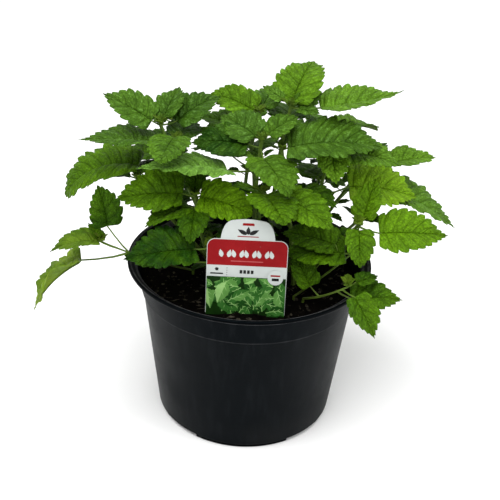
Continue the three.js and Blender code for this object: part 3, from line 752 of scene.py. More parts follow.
def make_pot_material(settings):
    material, tree = new_material("pot_plastic")
    mottle = use_group(tree, "mottle", Broad=22.0, Fine=1500.0)
    point = object_point(tree)
    low = fade(tree, height_of(tree, point), 0.0, 30 * MM, 0.2, 0.03)
    colour = blend_colours(tree, times(tree, low, mottle["Broad"]), settings.colour, settings.dust)
    streak = cloud(tree, vector_math(tree, "MULTIPLY", point, (1.0, 1.0, 0.12)), 260.0, 3.0)["Fac"]
    colour = blend_colours(tree, fade(tree, streak, 0.45, 0.75, 0.0, 0.4), colour, WORN_PLASTIC)
    # Painted shade and painted highlights along the lip, the collar, the rim and the foot
    colour = painted_edge_light_and_shade(tree, point, colour, streak)
    rough = calculate(tree, "MULTIPLY_ADD", mottle["Broad"], 0.12, 0.34)
    return finish_material(material, colour, rough, 0.025, mottle["Fine"], 0.03, PLASTIC_SHEEN)


def make_soil_material(settings):
    material, tree = new_material("peat")
    mottle = use_group(tree, "mottle", Broad=150.0, Fine=1400.0)
    speck = use_group(tree, "specks", Scale=420.0, Size=0.25, Share=0.16)["Speck"]
    crumb = blend_colours(tree, mottle["Broad"], settings.colour, PEAT_CRUMB)
    colour = blend_colours(tree, times(tree, speck, 0.5), crumb, settings.bit_colour)
    return finish_material(material, colour, 0.95, 0.02, mottle["Fine"], 0.6)


def make_bit_material(settings):
    material, tree = new_material("bark_bits")
    mottle = use_group(tree, "mottle", Broad=260.0, Fine=2400.0)
    colour = blend_colours(tree, mottle["Broad"], settings.colour, settings.bit_colour)
    return finish_material(material, colour, 0.85, 0.03, mottle["Fine"], 0.15)


def make_print_material(name, colour, second):
    """A printed or bare plastic face, slightly uneven, with a trace of dust."""
    material, tree = new_material(name)
    mottle = use_group(tree, "mottle", Broad=90.0, Fine=1800.0)
    speck = use_group(tree, "specks", Scale=330.0, Size=0.13, Share=0.12)["Speck"]
    printed = blend_colours(tree, mottle["Broad"], colour, second)
    dusted = blend_colours(tree, times(tree, speck, 0.35), printed, LABEL_DUST)
    return finish_material(material, dusted, 0.38, 0.05, mottle["Fine"], 0.01)


# Pot

def pot_rings():
    underside = POT_HEIGHT - RIM_THICKNESS
    rings = [(FOOT_RADIUS - 1.2, 0)]
    rings += arc((FOOT_RADIUS - 0.6, 0.6), 0.6, -90, 0, 3)
    rings += [(FOOT_RADIUS, FOOT_HEIGHT - 0.3), (BODY_FOOT_RADIUS - 1, FOOT_HEIGHT)]
    rings += arc((BODY_FOOT_RADIUS - 1, FOOT_HEIGHT + 1), 1, -90, -6, 4)
    rings += [(BODY_TOP_RADIUS, COLLAR_FOOT_HEIGHT - 1)]
    rings += arc((COLLAR_FOOT_RADIUS - 0.6, COLLAR_FOOT_HEIGHT + 0.4), 0.6, -80, 0, 4)
    rings += [(COLLAR_TOP_RADIUS - 0.1, underside - 1.2), (COLLAR_TOP_RADIUS + 1, underside - 0.2)]
    rings += arc((RIM_RADIUS - 0.9, underside + 0.9), 0.9, -90, 0, 5)
    rings += arc((RIM_RADIUS - 0.9, POT_HEIGHT - 0.9), 0.9, 0, 90, 5)
    rings += [(RIM_INNER_RADIUS + 0.4, POT_HEIGHT)]
    rings += [(RIM_INNER_RADIUS - 0.3, POT_HEIGHT - 0.5), (COLLAR_TOP_RADIUS - WALL, underside - 0.7)]
    rings += [(COLLAR_FOOT_RADIUS - WALL, COLLAR_FOOT_HEIGHT)]
    rings += [(BODY_TOP_RADIUS - WALL, COLLAR_FOOT_HEIGHT - 1.4)]
    rings += [(BODY_FOOT_RADIUS - WALL, FLOOR_THICKNESS + 1)]
    return rings + [(BODY_FOOT_RADIUS - WALL - 1, FLOOR_THICKNESS)]


def drain_cutters():
    """Wedges for the channels between the feet and rods for the drain holes, as one object."""
    cutters = []
    for foot in range(FOOT_COUNT):
        middle = math.radians((foot + 0.5) / FOOT_COUNT * 360)
        bpy.ops.mesh.primitive_cube_add(size=1)
        wedge = bpy.context.object
        points = positions(wedge.data)
        radius = np.where(points[:, 0] > 0, RIM_RADIUS, NOTCH_INNER_RADIUS) * MM
        angle = middle + np.sign(points[:, 1]) * math.radians(NOTCH_HALF_ANGLE)
        height = np.sign(points[:, 2]) * FOOT_HEIGHT * MM
        place(wedge.data, np.stack([radius * np.cos(angle), radius * np.sin(angle), height], -1))
        reach = DRAIN_CENTRE_RADIUS * MM
        centre = (reach * math.cos(middle), reach * math.sin(middle), 0)
        bpy.ops.mesh.primitive_cylinder_add(
            vertices=32, radius=DRAIN_RADIUS * MM, depth=4 * FLOOR_THICKNESS * MM, location=centre)
        cutters += [wedge, bpy.context.object]
    return cutters


def make_pot(settings):
    pot = turned_solid("nursery_pot", pot_rings(), settings.segments)
    deselect_all()
    for cutter in drain_cutters():
        apply_modifier(pot, "BOOLEAN", operation="DIFFERENCE", object=cutter, solver="EXACT")
        bpy.data.objects.remove(cutter)
    outward(pot)
    shade(pot, CREASE_ANGLE)
    dress(pot, make_pot_material(settings))
    finish_piece(pot, "pot")
    return pot


# Soil

def soil_height(x, y):
    """Lumpy height of the soil's top over a point, in metres; x and y are in metres too."""
    spread = math.hypot(x, y) / (COLLAR_FOOT_RADIUS * MM)
    base = SOIL_TOP * MM - SOIL_EDGE_DROP * MM * spread ** 2
    off_x = (x / MM - LABEL_FOOT[0]) / BANK_SPREAD[0]
    off_y = (y / MM - LABEL_FOOT[1]) / BANK_SPREAD[1]
    base += BANK_HEIGHT * MM * math.exp(-off_x ** 2 - off_y ** 2)
    broad = noise.noise(Vector((x, y, 0)) * 45)
    crumbs = noise.noise(Vector((x, y, 0.3)) * 170)
    grain = noise.noise(Vector((x, y, 0.7)) * 480)
    return base, 0.5 * broad + 0.35 * crumbs + 0.22 * grain


def make_soil(settings):
    edge = COLLAR_FOOT_RADIUS + 1.6 - WALL
    rings = [(edge - 3, SOIL_TOP - SOIL_DEPTH), (edge - 0.6, SOIL_TOP - 8)]
    rings += [(edge, SOIL_TOP - SOIL_EDGE_DROP - 0.6)]
    for ring in range(1, SOIL_RINGS):
        rings.append((edge * (1 - ring / SOIL_RINGS), SOIL_TOP - SOIL_EDGE_DROP))
    soil = turned_solid("soil_bed", rings, SOIL_SEGMENTS)
    points = positions(soil.data)
    for point in points:
        if point[2] > (SOIL_TOP - SOIL_EDGE_DROP - 0.3) * MM:
            base, lump = soil_height(point[0], point[1])
            near_wall = max(0.0, 1 - (edge * MM - math.hypot(point[0], point[1])) / (6 * MM))
            point[2] = base + settings.lump * (lump - 0.5 * near_wall)
    place(soil.data, points)
    shade(soil, 60)
    dress(soil, make_soil_material(settings))
    finish_piece(soil, "soil")
    return soil


def make_bits(settings):
    """Bark flakes, fibres and crumbs that lie on the soil, each a small dented lump."""
    draw = random.Random(11)
    deselect_all()
    bpy.ops.mesh.primitive_ico_sphere_add(subdivisions=1, radius=1)
    blank = bpy.context.object
    ball = positions(blank.data)
    bits = []
    for _ in range(settings.bits):
        radius = (COLLAR_FOOT_RADIUS - 4) * MM * math.sqrt(draw.random())
        angle = draw.uniform(0, 2 * math.pi)
        x, y = radius * math.cos(angle), radius * math.sin(angle)
        base, lump = soil_height(x, y)
        kind = draw.random()
        if kind < 0.3:
            size = (draw.uniform(2.5, 6), draw.uniform(0.25, 0.5), draw.uniform(0.25, 0.4))
        elif kind < 0.6:
            size = (draw.uniform(1.2, 3), draw.uniform(0.9, 1.9), draw.uniform(0.3, 0.6))
        else:
            size = (draw.uniform(0.6, 1.5), draw.uniform(0.6, 1.4), draw.uniform(0.5, 1.1))
        dents = np.array([draw.uniform(0.72, 1.15) for _ in ball])[:, None]
        points = ball * dents * np.array(size) * MM
        turn = Matrix.Rotation(draw.uniform(0, math.pi), 3, "Z")
        tilt = Matrix.Rotation(draw.uniform(-0.35, 0.35), 3, "Y")
        points = points @ np.array(turn @ tilt).T
        height = base + settings.lump * lump + 0.3 * size[2] * MM
        bit = copy_of(blank)
        place(bit.data, points + np.array((x, y, height)))
        bits.append(bit)
    bpy.data.objects.remove(blank)
    joined = join(bits, "soil_bits")
    shade(joined, 50)
    dress(joined, make_bit_material(settings))
    finish_piece(joined)
    return joined


# Plant label

def label_matrix():
    foot = Vector(LABEL_FOOT) * MM
    return Matrix.Translation(foot) @ Matrix.Rotation(math.radians(90 - LABEL_LEAN), 4, "X")


def flat_print(name, outline, layer, thickness=PRINT_THICKNESS):
    """A thin printed shape on the label's face: an outline in millimetres, raised by its layer."""
    mesh = bpy.data.meshes.new(name)
    front = (LABEL_THICKNESS / 2 + layer * PRINT_THICKNESS) * MM
    mesh.from_pydata([(x * MM, y * MM, front) for x, y in outline], [], [range(len(outline))])
    piece = new_piece(name, mesh)
    apply_modifier(piece, "SOLIDIFY", thickness=thickness * MM, offset=-1)
    return piece


def rounded_box(left, low, right, high, corner, steps=6):
    """An outline with rounded top corners, anticlockwise from its low left corner."""
    points = [(left, low), (right, low)]
    for centre, start in ((right - corner, 0), (left + corner, 90)):
        for step in range(steps + 1):
            angle = math.radians(start + 90 * step / steps)
            points.append((centre + corner * math.cos(angle), high - corner + corner * math.sin(angle)))
    return points


def leaf_outline(base, heading, length, width, teeth=5):
    """A small toothed leaf for the printed picture, anticlockwise from its base."""
    turn = math.radians(heading)
    sides = []
    for side in (-1, 1):
        row = []
        for step in range(1, 2 * teeth):
            share = step / (2 * teeth)
            reach = width / 2 * math.sin(math.pi * share ** 0.75) * (1.0 if step % 2 else 0.86)
            row.append((share * length, side * reach))
        sides.append(row)
    local = [(0, 0)] + sides[0] + [(length, 0)] + sides[1][::-1]
    return [(base[0] + x * math.cos(turn) - y * math.sin(turn),
             base[1] + x * math.sin(turn) + y * math.cos(turn)) for x, y in local]


def clip_to_box(outline, left, low, right, high):
    return [(min(max(x, left), right), min(max(y, low), high)) for x, y in outline]


def picture_leaves(settings, inks):
    """Overlapping printed leaves, each with a light and a dark half and pale veins, dark ones behind."""
    draw = random.Random(settings.picture_seed)
    left, right = -LABEL_HALF_WIDTH + PRINT_BORDER, LABEL_HALF_WIDTH - PRINT_BORDER
    pieces = []
    for index in range(PICTURE_LEAVES):
        share = index / PICTURE_LEAVES
        x = left + ((index * 0.382) % 1) * (right - left)
        y = draw.uniform(0, PICTURE_TOP - 3)
        length = draw.uniform(9, 16)
        heading = draw.uniform(0, 360)
        light = 0.8 * share + y / PICTURE_TOP
        first = 0 if light < 0.95 else (1 if light < 1.45 else 2)
        level = 2 + PICTURE_STEP * index
        outline = leaf_outline((x, y), heading, length, length * 0.62)
        middle = len(outline) // 2
        shapes = [
            (outline[:middle + 1], inks[first + 1], 0),
            ([outline[0]] + outline[middle:], inks[first], 0),
        ]
        turn = math.radians(heading)
        for start, slant, reach in PICTURE_VEINS:
            root = (x + start * length * math.cos(turn), y + start * length * math.sin(turn))
            shapes.append((vein_outline(root, heading + slant, reach * length), inks[3], 1))
        for shape, ink, raised in shapes:
            shape = clip_to_box(shape, left, PICTURE_FOOT, right, PICTURE_TOP)
            leaf = flat_print("print_leaf", shape, level + raised * PICTURE_STEP / 2, 0.03)
            dress(leaf, ink)
            pieces.append(leaf)
    return pieces


def vein_outline(root, heading, length):
    turn = math.radians(heading)
    wide = (-VEIN_HALF_WIDTH * math.sin(turn), VEIN_HALF_WIDTH * math.cos(turn))
    return [(root[0] - wide[0], root[1] - wide[1]),
            (root[0] + length * math.cos(turn), root[1] + length * math.sin(turn)),
            (root[0] + wide[0], root[1] + wide[1])]


def sun_outline(centre, radius, rays=8):
    points = []
    for step in range(2 * rays):
        angle = math.pi * step / rays
        reach = radius if step % 2 == 0 else radius * 0.55
        points.append((centre[0] + reach * math.cos(angle), centre[1] + reach * math.sin(angle)))
    return points


def ring_outline(centre, radius, steps=28):
    return [(centre[0] + radius * math.cos(2 * math.pi * s / steps),
             centre[1] + radius * math.sin(2 * math.pi * s / steps)) for s in range(steps)]


def make_label(settings):
    plastic = make_print_material("label_white", settings.plastic, LABEL_SHADE)
    band_ink = make_print_material("label_band", settings.band, BAND_SHADE)
    dark_ink, pink_ink, *greens = [make_print_material(name, *tones) for name, tones in INKS.items()]
    left, right = -LABEL_HALF_WIDTH + PRINT_BORDER, LABEL_HALF_WIDTH - PRINT_BORDER
    top, corner = LABEL_PLATE_HEIGHT - PRINT_BORDER, LABEL_CORNER - PRINT_BORDER
    shapes = [
        (rounded_box(left, BAND_FOOT, right, top, corner), 1, band_ink),
        (rounded_box(left, PICTURE_FOOT, right, PICTURE_TOP, 0.4), 1, greens[0]),
        (sun_outline((-18.5, 29.3), 1.5), 1, dark_ink),
        (rounded_box(-22.5, 26, -14.5, 26.9, 0.3), 1, dark_ink),
        (ring_outline((18, 25.2), 4.9), 14, plastic),
        (rounded_box(15, 26, 21, 27, 0.3), 15, band_ink),
        (rounded_box(15.8, 23.1, 20.2, 24.9, 0.4), 15, dark_ink),
        (rounded_box(-10, 34.6, 10, 35.2, 0.2), 2, pink_ink),
        (rounded_box(-3.6, 58, 3.6, 59.6, 0.8), 1, band_ink),
        (rounded_box(-6.5, 50.7, 6.5, 51.3, 0.3), 1, band_ink),
        (leaf_outline((0, 52.2), 90, 5.2, 2.8), 1, dark_ink),
        (leaf_outline((0.8, 52.4), 28, 6.5, 2.8), 1, dark_ink),
        (leaf_outline((-0.8, 52.4), 152, 6.5, 2.8), 1, dark_ink),
    ]
    for step in range(9):
        heading = 90 + 14 * (-1) ** step
        shapes.append((leaf_outline((3.9 * (step - 4), 37.3), heading, 5.2, 3), 2, plastic))
    for step in range(4):
        shapes.append((rounded_box(2.3 * step - 4.3, 26.9, 2.3 * step - 2.6, 29.2, 0.3), 1, dark_ink))
        shapes.append((rounded_box(-12.4, 1.5 * step + 25.4, -12, 1.5 * step + 26, 0.1), 1, dark_ink))
    pieces = []
    for outline, layer, ink in shapes:
        shape = flat_print("print_shape", outline, layer)
        dress(shape, ink)
        pieces.append(shape)
    pieces += picture_leaves(settings, greens[1:])
    printed = join(pieces, "label_print")
    printed.data.transform(label_matrix())
    outward(printed)
    finish_piece(printed)
    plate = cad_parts["plant_label"]
    dress(plate, plastic)
    return printed


# Leafy stems

def stem_point(stem, share):
    foot, lean, tip, _ = stem
    start = Vector((foot[0], foot[1], STEM_FOOT_HEIGHT))
    return ((1 - share) ** 2 * start + 2 * share * (1 - share) * Vector(lean) + share ** 2 * Vector(tip))


def blade_base(root, heading, petiole, rise):
    turn, lift = math.radians(heading), math.radians(rise)
    reach = Vector((math.cos(lift) * math.cos(turn), math.cos(lift) * math.sin(turn), math.sin(lift)))
    return root + reach * petiole


def midrib_frame(base, heading, blade, pitch, droop, roll, shares, twist=0.0):
    """Points on the midrib's arc with the directions along, across to the left and up, all as arrays."""
    turn, bend = math.radians(heading), math.radians(droop)
    if abs(bend) < 1e-4:
        bend = 1e-4
    start = math.radians(pitch) + bend / 2
    slope = start - bend * shares
    run = blade / bend * (np.sin(start) - np.sin(slope))
    lift = blade / bend * (np.cos(slope) - np.cos(start))
    forward = np.array([math.cos(turn), math.sin(turn), 0.0])
    upright = np.array([0.0, 0.0, 1.0])
    point = np.array(base) + run[..., None] * forward + lift[..., None] * upright
    along = np.cos(slope)[..., None] * forward + np.sin(slope)[..., None] * upright
    level = np.array([-math.sin(turn), math.cos(turn), 0.0])
    turned = (math.radians(roll) + twist * shares)[..., None]
    across = np.cos(turned) * level + np.sin(turned) * np.cross(along, level)
    return point, along, across, np.cross(along, across)


def blade_swell(share, taper):
    """How wide a blade is at each share of its length, from 0 at its ends to about 1."""
    return np.clip(np.sin(np.pi * share ** BLADE_SKEW), 0, 1) ** (BLADE_FULLNESS + taper * share)


def cell_pillows(x, y, size, seed):
    """Height from 0 to 1 of rounded pillows between random creases, over points in millimetres."""
    cell_x, cell_y = np.floor(x / size), np.floor(y / size)
    nearest = np.full(x.shape, 9.0)
    second = np.full(x.shape, 9.0)
    for step_x in (-1, 0, 1):
        for step_y in (-1, 0, 1):
            i, j = cell_x + step_x, cell_y + step_y
            jitter = np.sin(i * 127.1 + j * 311.7 + seed) * 43758.5
            other = np.sin(i * 269.5 + j * 183.3 + seed) * 24634.6
            gap_x = (i + 0.2 + 0.6 * (jitter - np.floor(jitter))) - x / size
            gap_y = (j + 0.2 + 0.6 * (other - np.floor(other))) - y / size
            distance = np.hypot(gap_x, gap_y)
            second = np.minimum(second, np.maximum(distance, nearest))
            nearest = np.minimum(nearest, distance)
    edge = np.clip((second - nearest) / 0.6, 0, 1)
    return edge * (2 - edge)


def blade_blank(rows, half_columns, blanks):
    """A flat grid with that many rows and columns, made once and copied for every such blade."""
    if (rows, half_columns) not in blanks:
        deselect_all()
        bpy.ops.mesh.primitive_grid_add(x_subdivisions=rows, y_subdivisions=2 * half_columns, size=1)
        blanks[rows, half_columns] = bpy.context.object
    return blanks[rows, half_columns]


def blade_height(blade, settings, draw, forward, share, side, reach, out, swell, veins):
    """Rise of a blade's surface over its midrib's arc: folds, curls, quilting and creases."""
    widest = BLADE_HALF_WIDTH * blade
    fold = math.radians(BLADE_FOLD + draw.uniform(-4, 4))
    crown = draw.uniform(0.04, 0.16)
    curl = draw.uniform(0.0, 0.14)
    height = out * math.sin(fold) + widest * swell * (crown * (reach - reach ** 2) - curl * reach ** 3)

    # Quilting between the side veins, smaller puckers on it and the sunken midrib
    count = share * veins - VEIN_SLANT * reach + VEIN_STAGGER * side
    off = np.abs(count - np.floor(count) - 0.5) * 2
    pillow = (1 - (1 - off) ** 2.2) * np.clip(reach * 4, 0, 1) * (1 - 0.6 * reach ** 4)
    height += settings.quilt * blade * pillow * swell
    seed = draw.uniform(0, 50)
    inner = np.clip(reach * 3, 0, 1) * swell
    for size, strength, start in ((3.4, 1.0, seed), (1.9, 0.5, seed + 9)):
        puckers = cell_pillows(forward * blade, side * out, size, start)
        height += strength * settings.pucker * blade * puckers * inner
    height -= MIDRIB_SINK * blade * np.exp(-(out / (0.012 * blade + 0.2)) ** 2)

    # Waves of the whole blade and of its margin, less toward the narrow tip
    wave = draw.uniform(0, 2 * math.pi)
    broad = np.sqrt(swell)
    height += 0.012 * blade * np.sin(9 * forward + 4 * side * reach + wave) * reach * broad
    ripple = np.sin(2 * math.pi * share * veins / draw.uniform(1.6, 2.4) + wave * (1 + 0.7 * side))
    rippled = draw.uniform(0.01, 0.028) * blade * reach ** 3 * ripple
    height += rippled * np.clip(share / 0.12, 0, 1) * broad
    return height - draw.uniform(0.0, 0.1) * blade * forward ** 4 * reach ** 2 * broad


def make_blade(root, leaf, settings, draw, blanks, looks):
    _, heading, petiole, rise, blade, pitch, droop, roll, taper = leaf[:9]
    small = blade < SMALL_BLADE
    stops, rises, leans = TOOTH_STOPS, TOOTH_RISE, TOOTH_LEAN
    if small:
        stops, rises, leans = stops[SMALL_STOPS], rises[SMALL_STOPS], leans[SMALL_STOPS]
    teeth = max(5, min(13, round(blade / MM_PER_TOOTH)))
    veins = max(4, round(blade / MM_PER_VEIN))
    rows = teeth * len(stops)
    blank = blade_blank(rows, SMALL_HALF_COLUMNS if small else HALF_COLUMNS, blanks)
    flat = positions(blank.data)
    index = np.rint((flat[:, 0] + 0.5) * rows).astype(int)
    tooth, stop = index // len(stops), index % len(stops)
    share = (tooth + stops[stop]) / teeth
    side = np.sign(np.round(flat[:, 1], 5))
    even = np.abs(2 * flat[:, 1])
    reach = even - FINE_ENDS * np.sin(2 * np.pi * even) / (2 * np.pi)

    # Width, teeth and the forward slant of the rows
    swell = blade_swell(share, taper)
    widest = BLADE_HALF_WIDTH * blade * draw.uniform(0.95, 1.05)
    vary = {(k, s): draw.uniform(0.6, 1.35) for k in range(teeth + 1) for s in (-1, 0, 1)}
    size = np.array([vary[int(k), int(s)] for k, s in zip(tooth, side)])
    bare_base = np.clip(share / 0.1, 0, 1)
    inside = np.clip((1 - share) * teeth * 2, 0, 1)
    depth = settings.tooth * widest * np.sqrt(swell) * bare_base * inside * size
    margin = reach ** 4
    out = widest * swell * reach + depth * rises[stop] * margin
    lobe = BASE_LOBE * (1 - share) ** 6 * np.clip(share / 0.04, 0, 1)
    slant = ROW_SLANT * np.sin(np.pi * share) - lobe
    forward = share + slant * reach ** 1.2 + leans[stop] * margin * inside / teeth
    forward = np.minimum(forward, 1.0)

    height = blade_height(blade, settings, draw, forward, share, side, reach, out, swell, veins)
    if looks["youth"] > 0.5:
        height += 0.05 * blade * np.sin(9 * forward + 5 * side * reach) * reach * np.sqrt(swell)
    base = blade_base(root, heading, petiole, rise)
    twist = math.radians(leaf[11] if len(leaf) > 11 else draw.uniform(-7, 7))
    point, _, across, up = midrib_frame(base, heading, blade, pitch, droop, roll, forward, twist)
    level = (side * out * math.cos(math.radians(BLADE_FOLD)))[:, None]
    points = point + level * across + height[:, None] * up

    sheet = copy_of(blank)
    mesh = sheet.data
    place(mesh, points * MM)
    corners = np.empty(len(mesh.loops), np.int32)
    mesh.loops.foreach_get("vertex_index", corners)
    mesh.uv_layers[0].name = "blade"
    flat_map = np.stack([share * veins, side * reach], -1)[corners]
    mesh.uv_layers["blade"].data.foreach_set("uv", flat_map.astype(np.float32).ravel())
    for name, value in looks.items():
        values = np.full(len(mesh.vertices), value, np.float32)
        mesh.attributes.new(name, "FLOAT", "POINT").data.foreach_set("value", values)
    return sheet


def stem_profile():
    """A closed square outline with rounded corners and a shallow groove down each side."""
    curve = bpy.data.curves.new("stem_profile", "CURVE")
    spline = curve.splines.new("POLY")
    steps = 24
    spline.points.add(steps - 1)
    for step in range(steps):
        angle = 2 * math.pi * step / steps
        radius = STEM_RADIUS * MM * (0.83 + 0.17 * math.cos(4 * angle))
        spline.points[step].co = (radius * math.cos(angle), radius * math.sin(angle), 0, 1)
    spline.use_cyclic_u = True
    return new_piece("stem_profile", curve)


def add_path(curve, points, radii):
    spline = curve.splines.new("POLY")
    spline.points.add(len(points) - 1)
    for spot, point, radius in zip(spline.points, points, radii):
        spot.co = (*(Vector(point) * MM), 1)
        spot.radius = radius


def stem_curve(name, stem, profile):
    """The square stem from under the soil to its tip, a little thicker where leaves stand."""
    leaves = stem[3]
    nodes = sorted({leaf[0] for leaf in leaves})
    points = [Vector((stem[0][0], stem[0][1], SOIL_TOP - 5))]
    girth = BARE_STEM_GIRTH if stem[2][2] < BARE_STEM_TOP else LEAFY_STEM_GIRTH
    radii = [1.08 * girth]
    for step in range(STEM_STEPS + 1):
        share = step / STEM_STEPS
        near = min(abs(share - place_on) for place_on in nodes)
        points.append(stem_point(stem, share))
        knot = 1 + 0.22 * math.exp(-(near / 0.025) ** 2)
        radii.append(girth * (1 - (1 - STEM_TIP_SHARE) * share) * knot)
    along = (Vector(stem[2]) - Vector(stem[1])).normalized()
    points.append(Vector(stem[2]) + along * 2.5)
    radii.append(0.45 * girth)
    curve = bpy.data.curves.new(name, "CURVE")
    curve.dimensions = "3D"
    curve.bevel_mode = "OBJECT"
    curve.bevel_object = profile
    curve.use_fill_caps = True
    add_path(curve, points, radii)
    return new_piece(name, curve)


def petiole_curve(name, stem, leaves):
    """Petioles that run on under the blades as tapering midribs."""
    curve = bpy.data.curves.new(name, "CURVE")
    curve.dimensions = "3D"
    curve.bevel_depth = MM
    curve.bevel_resolution = 2
    curve.use_fill_caps = True
    for leaf in leaves:
        share, heading, petiole, rise, blade, pitch, droop, roll = leaf[:8]
        root = stem_point(stem, share)
        base = blade_base(root, heading, petiole, rise)
        size = min(1.0, 0.45 + blade / 90)
        walk = np.linspace(0.05, 0.93, 9)
        rib, _, _, up = midrib_frame(base, heading, blade, pitch, droop, roll, walk)
        sag = Vector((0, 0, -0.04 * petiole))
        points = [root, root.lerp(base, 0.33) + sag, root.lerp(base, 0.7) + sag * 0.8, base]
        radii = [0.85 * size, 0.7 * size, 0.62 * size, 0.6 * size]
        for spot, lift, way in zip(rib, up, walk):
            radius = 0.5 * size * (1 - way) + 0.1
            points.append(Vector(spot - lift * (MIDRIB_SINK * blade + 0.8 * radius + 0.12)))
            radii.append(radius)
        add_path(curve, points, radii)
    return new_piece(name, curve)


def tip_leaves(stem, draw):
    """Two crossed pairs of tiny young leaves at a stem's tip."""
    facing = stem[3][0][1]
    leaves = []
    for pair, (size, rise) in enumerate(((8, 45), (5.5, 62))):
        for half in (0, 180):
            heading = facing + 90 + 90 * pair + half + draw.uniform(-15, 15)
            blade = size * draw.uniform(0.85, 1.15)
            droop = draw.uniform(20, 60)
            leaves.append((1.0, heading, 1.6 + 0.8 * pair, rise, blade, rise - 12, droop, 0, YOUNG_TAPER))
    return leaves


def side_shoots(stem, draw):
    """Small leaves in the axils lower down the stem, in pairs that cross from one to the next."""
    leaves = []
    if stem[2][2] < BARE_STEM_TOP:
        return leaves
    for step, share in enumerate((0.22, 0.38, 0.54, 0.7, 0.86)):
        for half in (0, 180):
            if draw.random() < 0.15:
                continue
            heading = stem[3][0][1] + 90 * step + 45 + half + draw.uniform(-25, 25)
            blade = draw.uniform(9, 16)
            leaves.append((share, heading, draw.uniform(3, 7), draw.uniform(20, 50), blade,
                           draw.uniform(-10, 30), draw.uniform(15, 40), draw.uniform(-20, 20),
                           YOUNG_TAPER))
    return leaves


def clear_of_label(stem, leaf):
    """False for a leaf that would reach through the label from behind."""
    root = stem_point(stem, leaf[0])
    reach = (leaf[2] + leaf[4]) * math.sin(math.radians(leaf[1]))
    beside = abs(root.x - LABEL_FOOT[0]) > LABEL_HALF_WIDTH + leaf[4]
    return beside or root.z > LABEL_CLEAR_TOP or root.y + reach > LABEL_CLEAR_BACK


def leaf_cloud(stem, leaf, steps, columns):
    """Points spread over a leaf's petiole and blade, in millimetres."""
    share, heading, petiole, rise, blade, pitch, droop, roll, taper = leaf[:9]
    root = stem_point(stem, share)
    base = blade_base(root, heading, petiole, rise)
    walk = np.linspace(0, 1, steps)
    rib, _, across, _ = midrib_frame(base, heading, blade, pitch, droop, roll, walk)
    half_width = (BLADE_HALF_WIDTH * blade * blade_swell(walk, taper))[:, None]
    rows = [rib + column * half_width * across for column in np.linspace(-1, 1, columns)]
    stalk = [root.lerp(base, way) for way in np.linspace(0, 1, 6)]
    return np.concatenate(rows + [np.array(stalk)])


def stem_cloud(stem):
    bare = np.array([stem_point(stem, share) for share in np.linspace(0, 1, 40)])
    return np.concatenate([bare] + [leaf_cloud(stem, leaf, *LEAF_SAMPLES) for leaf in stem[3]])


def fitted_young(stem, leaves, others):
    """The young leaves that clear the label and the other stems, each made smaller where that helps."""
    fitted = []
    for leaf in leaves:
        if not clear_of_label(stem, leaf):
            continue
        for size in YOUNG_SIZES:
            smaller = leaf[:2] + (leaf[2] * size, leaf[3], leaf[4] * size) + leaf[5:]
            cloud = leaf_cloud(stem, smaller, *YOUNG_SAMPLES)
            gaps = np.linalg.norm(others[:, None] - cloud[None], axis=2)
            if gaps.min() > YOUNG_GAP:
                fitted.append(smaller)
                break
    return fitted


def make_leafy_stem(name, stem, settings, profile, blanks, looks, clouds):
    draw = random.Random(name)
    others = np.concatenate([cloud for other, cloud in clouds.items() if other != name])
    young = fitted_young(stem, tip_leaves(stem, draw), others)
    shoots = fitted_young(stem, side_shoots(stem, draw), others)
    own = [leaf_cloud(stem, leaf, *YOUNG_SAMPLES) for leaf in young + shoots]
    clouds[name] = np.concatenate([clouds[name]] + own)
    leaves = list(stem[3]) + shoots + young
    sheets = []
    for leaf in leaves:
        root = stem_point(stem, leaf[0])
        # Painted shade and sheen: a leaf without a listed tone is darker the lower it stands, and one
        # without a listed hue gets more painted sky sheen the higher it stands
        height = (root.z - SOIL_TOP) / (CAD_BOX[1].z / MM - SOIL_TOP)
        tone = leaf[9] if len(leaf) > 9 else 0.05 + 0.35 * height + draw.uniform(-0.1, 0.1)
        if len(leaf) > 10:
            hue = leaf[10]
        else:
            hue = min(0.5, max(0.0, 2 * (height - 0.5) + draw.uniform(-0.1, 0.1)))
        own_looks = {
            "tone": tone + draw.uniform(-0.04, 0.04),
            "cool": max(hue, 0.0),
            "youth": draw.uniform(0.25, 0.7) if leaf in young else max(-hue, 0.0),
        }
        sheets.append(make_blade(root, leaf, settings, draw, blanks, own_looks))
    blades = join(sheets, name + "_blades")
    dress(blades, looks["upper"], looks["under"])

    # The rows that meet at the base and tip of each blade become single points
    weld(blades, END_WELD_DISTANCE)
    apply_modifier(blades, "SOLIDIFY", thickness=settings.thickness, offset=0, material_offset=1,
                   material_offset_rim=0)
    shade(blades, 65)
    tubes = [stem_curve(name + "_stem", stem, profile), petiole_curve(name + "_ribs", stem, leaves)]
    select_only(*tubes)
    bpy.ops.object.convert(target="MESH")
    for tube in tubes:
        dress(tube, looks["stem"])
        outward(tube)
        shade(tube, 50)
    piece = join([blades] + tubes, name.replace("stem_", "leafy_"))
    finish_piece(piece, name)
    return piece


# Stage

def make_camera(settings):
    elevation, roll = settings.elevation, settings.roll
    aim = Vector((0, 0, settings.aim_height))
    back = Vector((0, -math.cos(elevation), math.sin(elevation)))
    level = Vector((1, 0, 0))
    upright = back.cross(level)
    right = level * math.cos(roll) + upright * math.sin(roll)
    up = upright * math.cos(roll) - level * math.sin(roll)
    deselect_all()
    bpy.ops.object.camera_add()
    camera = bpy.context.object
    turn = Matrix((right, up, back)).transposed().to_4x4()
    camera.matrix_world = Matrix.Translation(aim + back * settings.distance) @ turn
    camera.data.lens = settings.focal_share * camera.data.sensor_width
    camera.data.clip_start = 0.01
    bpy.context.scene.camera = camera


